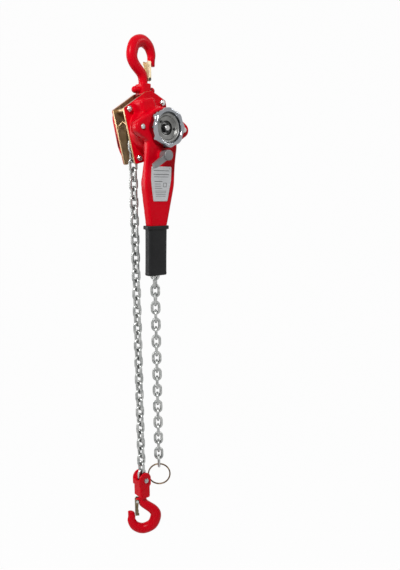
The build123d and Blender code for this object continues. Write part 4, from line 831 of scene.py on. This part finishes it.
def seenRays(tree):
    # One for the rays that show the background: straight, mirrored or through glass.
    path = tree.nodes.new("ShaderNodeLightPath")
    seen = path.outputs["Is Camera Ray"]
    for ray in ("Is Glossy Ray", "Is Transmission Ray"):
        most = tree.nodes.new("ShaderNodeMath")
        most.operation = "MAXIMUM"
        tree.links.new(seen, most.inputs[0])
        tree.links.new(path.outputs[ray], most.inputs[1])
        seen = most.outputs[0]
    return seen


def blendInto(tree, share, lit, shown, output):
    blend = tree.nodes.new("ShaderNodeMixShader")
    tree.links.new(share, blend.inputs[0])
    tree.links.new(lit.outputs[0], blend.inputs[1])
    tree.links.new(shown.outputs[0], blend.inputs[2])
    tree.links.new(blend.outputs[0], tree.nodes[output].inputs["Surface"])


def makeStage():
    # A floor that sweeps up into a backdrop; where it is seen it glows close to white.
    size, flat, bend = stage["size"], stage["flat"], stage["bend"]
    turn = np.linspace(-np.pi / 2, 0, stage["bendRows"])
    reach = np.concatenate([[-size], flat + bend * np.cos(turn), [flat + bend]])
    height = np.concatenate([[0.0], bend + bend * np.sin(turn), [stage["tall"]]])
    width = np.array([-size, size])
    bearing = np.radians(cameraPlace["bearing"])
    x = width * np.cos(bearing) + reach[:, None] * np.sin(bearing)
    y = -width * np.sin(bearing) + reach[:, None] * np.cos(bearing)
    z = height[:, None] + stage["floor"] + 0 * x
    points = np.stack([x, y, z], axis=-1).reshape(-1, 3)
    sweep = meshPiece("backdrop", points, gridFaces(len(reach), 2, closedColumns=False))
    material = bpy.data.materials.new("pale_paper")
    material.use_nodes = True
    tree = material.node_tree
    shader = tree.nodes["Principled BSDF"]
    shader.inputs["Base Color"].default_value = (stage["pale"],) * 3 + (1,)
    shader.inputs["Roughness"].default_value = stage["rough"]
    glow = tree.nodes.new("ShaderNodeEmission")
    seen = tree.nodes.new("ShaderNodeMath")
    seen.operation = "MULTIPLY"
    seen.inputs[1].default_value = stage["seen"]
    tree.links.new(seenRays(tree), seen.inputs[0])
    blendInto(tree, seen.outputs[0], shader, glow, "Material Output")
    sweep.data.materials.append(material)


def makeWorld():
    # A soft white sky for the light, and a brighter one where it is seen.
    world = bpy.data.worlds.new("studio")
    bpy.context.scene.world = world
    world.use_nodes = True
    tree = world.node_tree
    skies = (tree.nodes["Background"], tree.nodes.new("ShaderNodeBackground"))
    for sky, strength in zip(skies, (stage["sky"], stage["white"])):
        sky.inputs["Color"].default_value = (1, 1, 1, 1)
        sky.inputs["Strength"].default_value = strength
    blendInto(tree, seenRays(tree), *skies, "World Output")


lamps = {
    # place, size in metres, watts
    "key": ((-1.5, -1.15, 1.05), (0.45, 0.55), 42),
    "fill": ((1.7, -1.2, 0.8), (0.3, 0.6), 6),
    "rim": ((-1.2, 1.35, 0.1), (0.2, 1.3), 11),
}
lampAim = Vector((0, 0, -0.25))


def makeLamps():
    for name, (place, (width, height), watts) in lamps.items():
        data = bpy.data.lights.new(name, "AREA")
        data.shape = "RECTANGLE"
        data.size, data.size_y = width, height
        data.energy = watts
        lamp = linked(name, data)
        lamp.visible_camera = False
        lamp.location = place
        lamp.rotation_euler = (lampAim - Vector(place)).to_track_quat("-Z", "Y").to_euler()


makeStage()
makeWorld()
makeLamps()
bpy.context.scene.view_settings.view_transform = "Standard"
print("stage and light set")
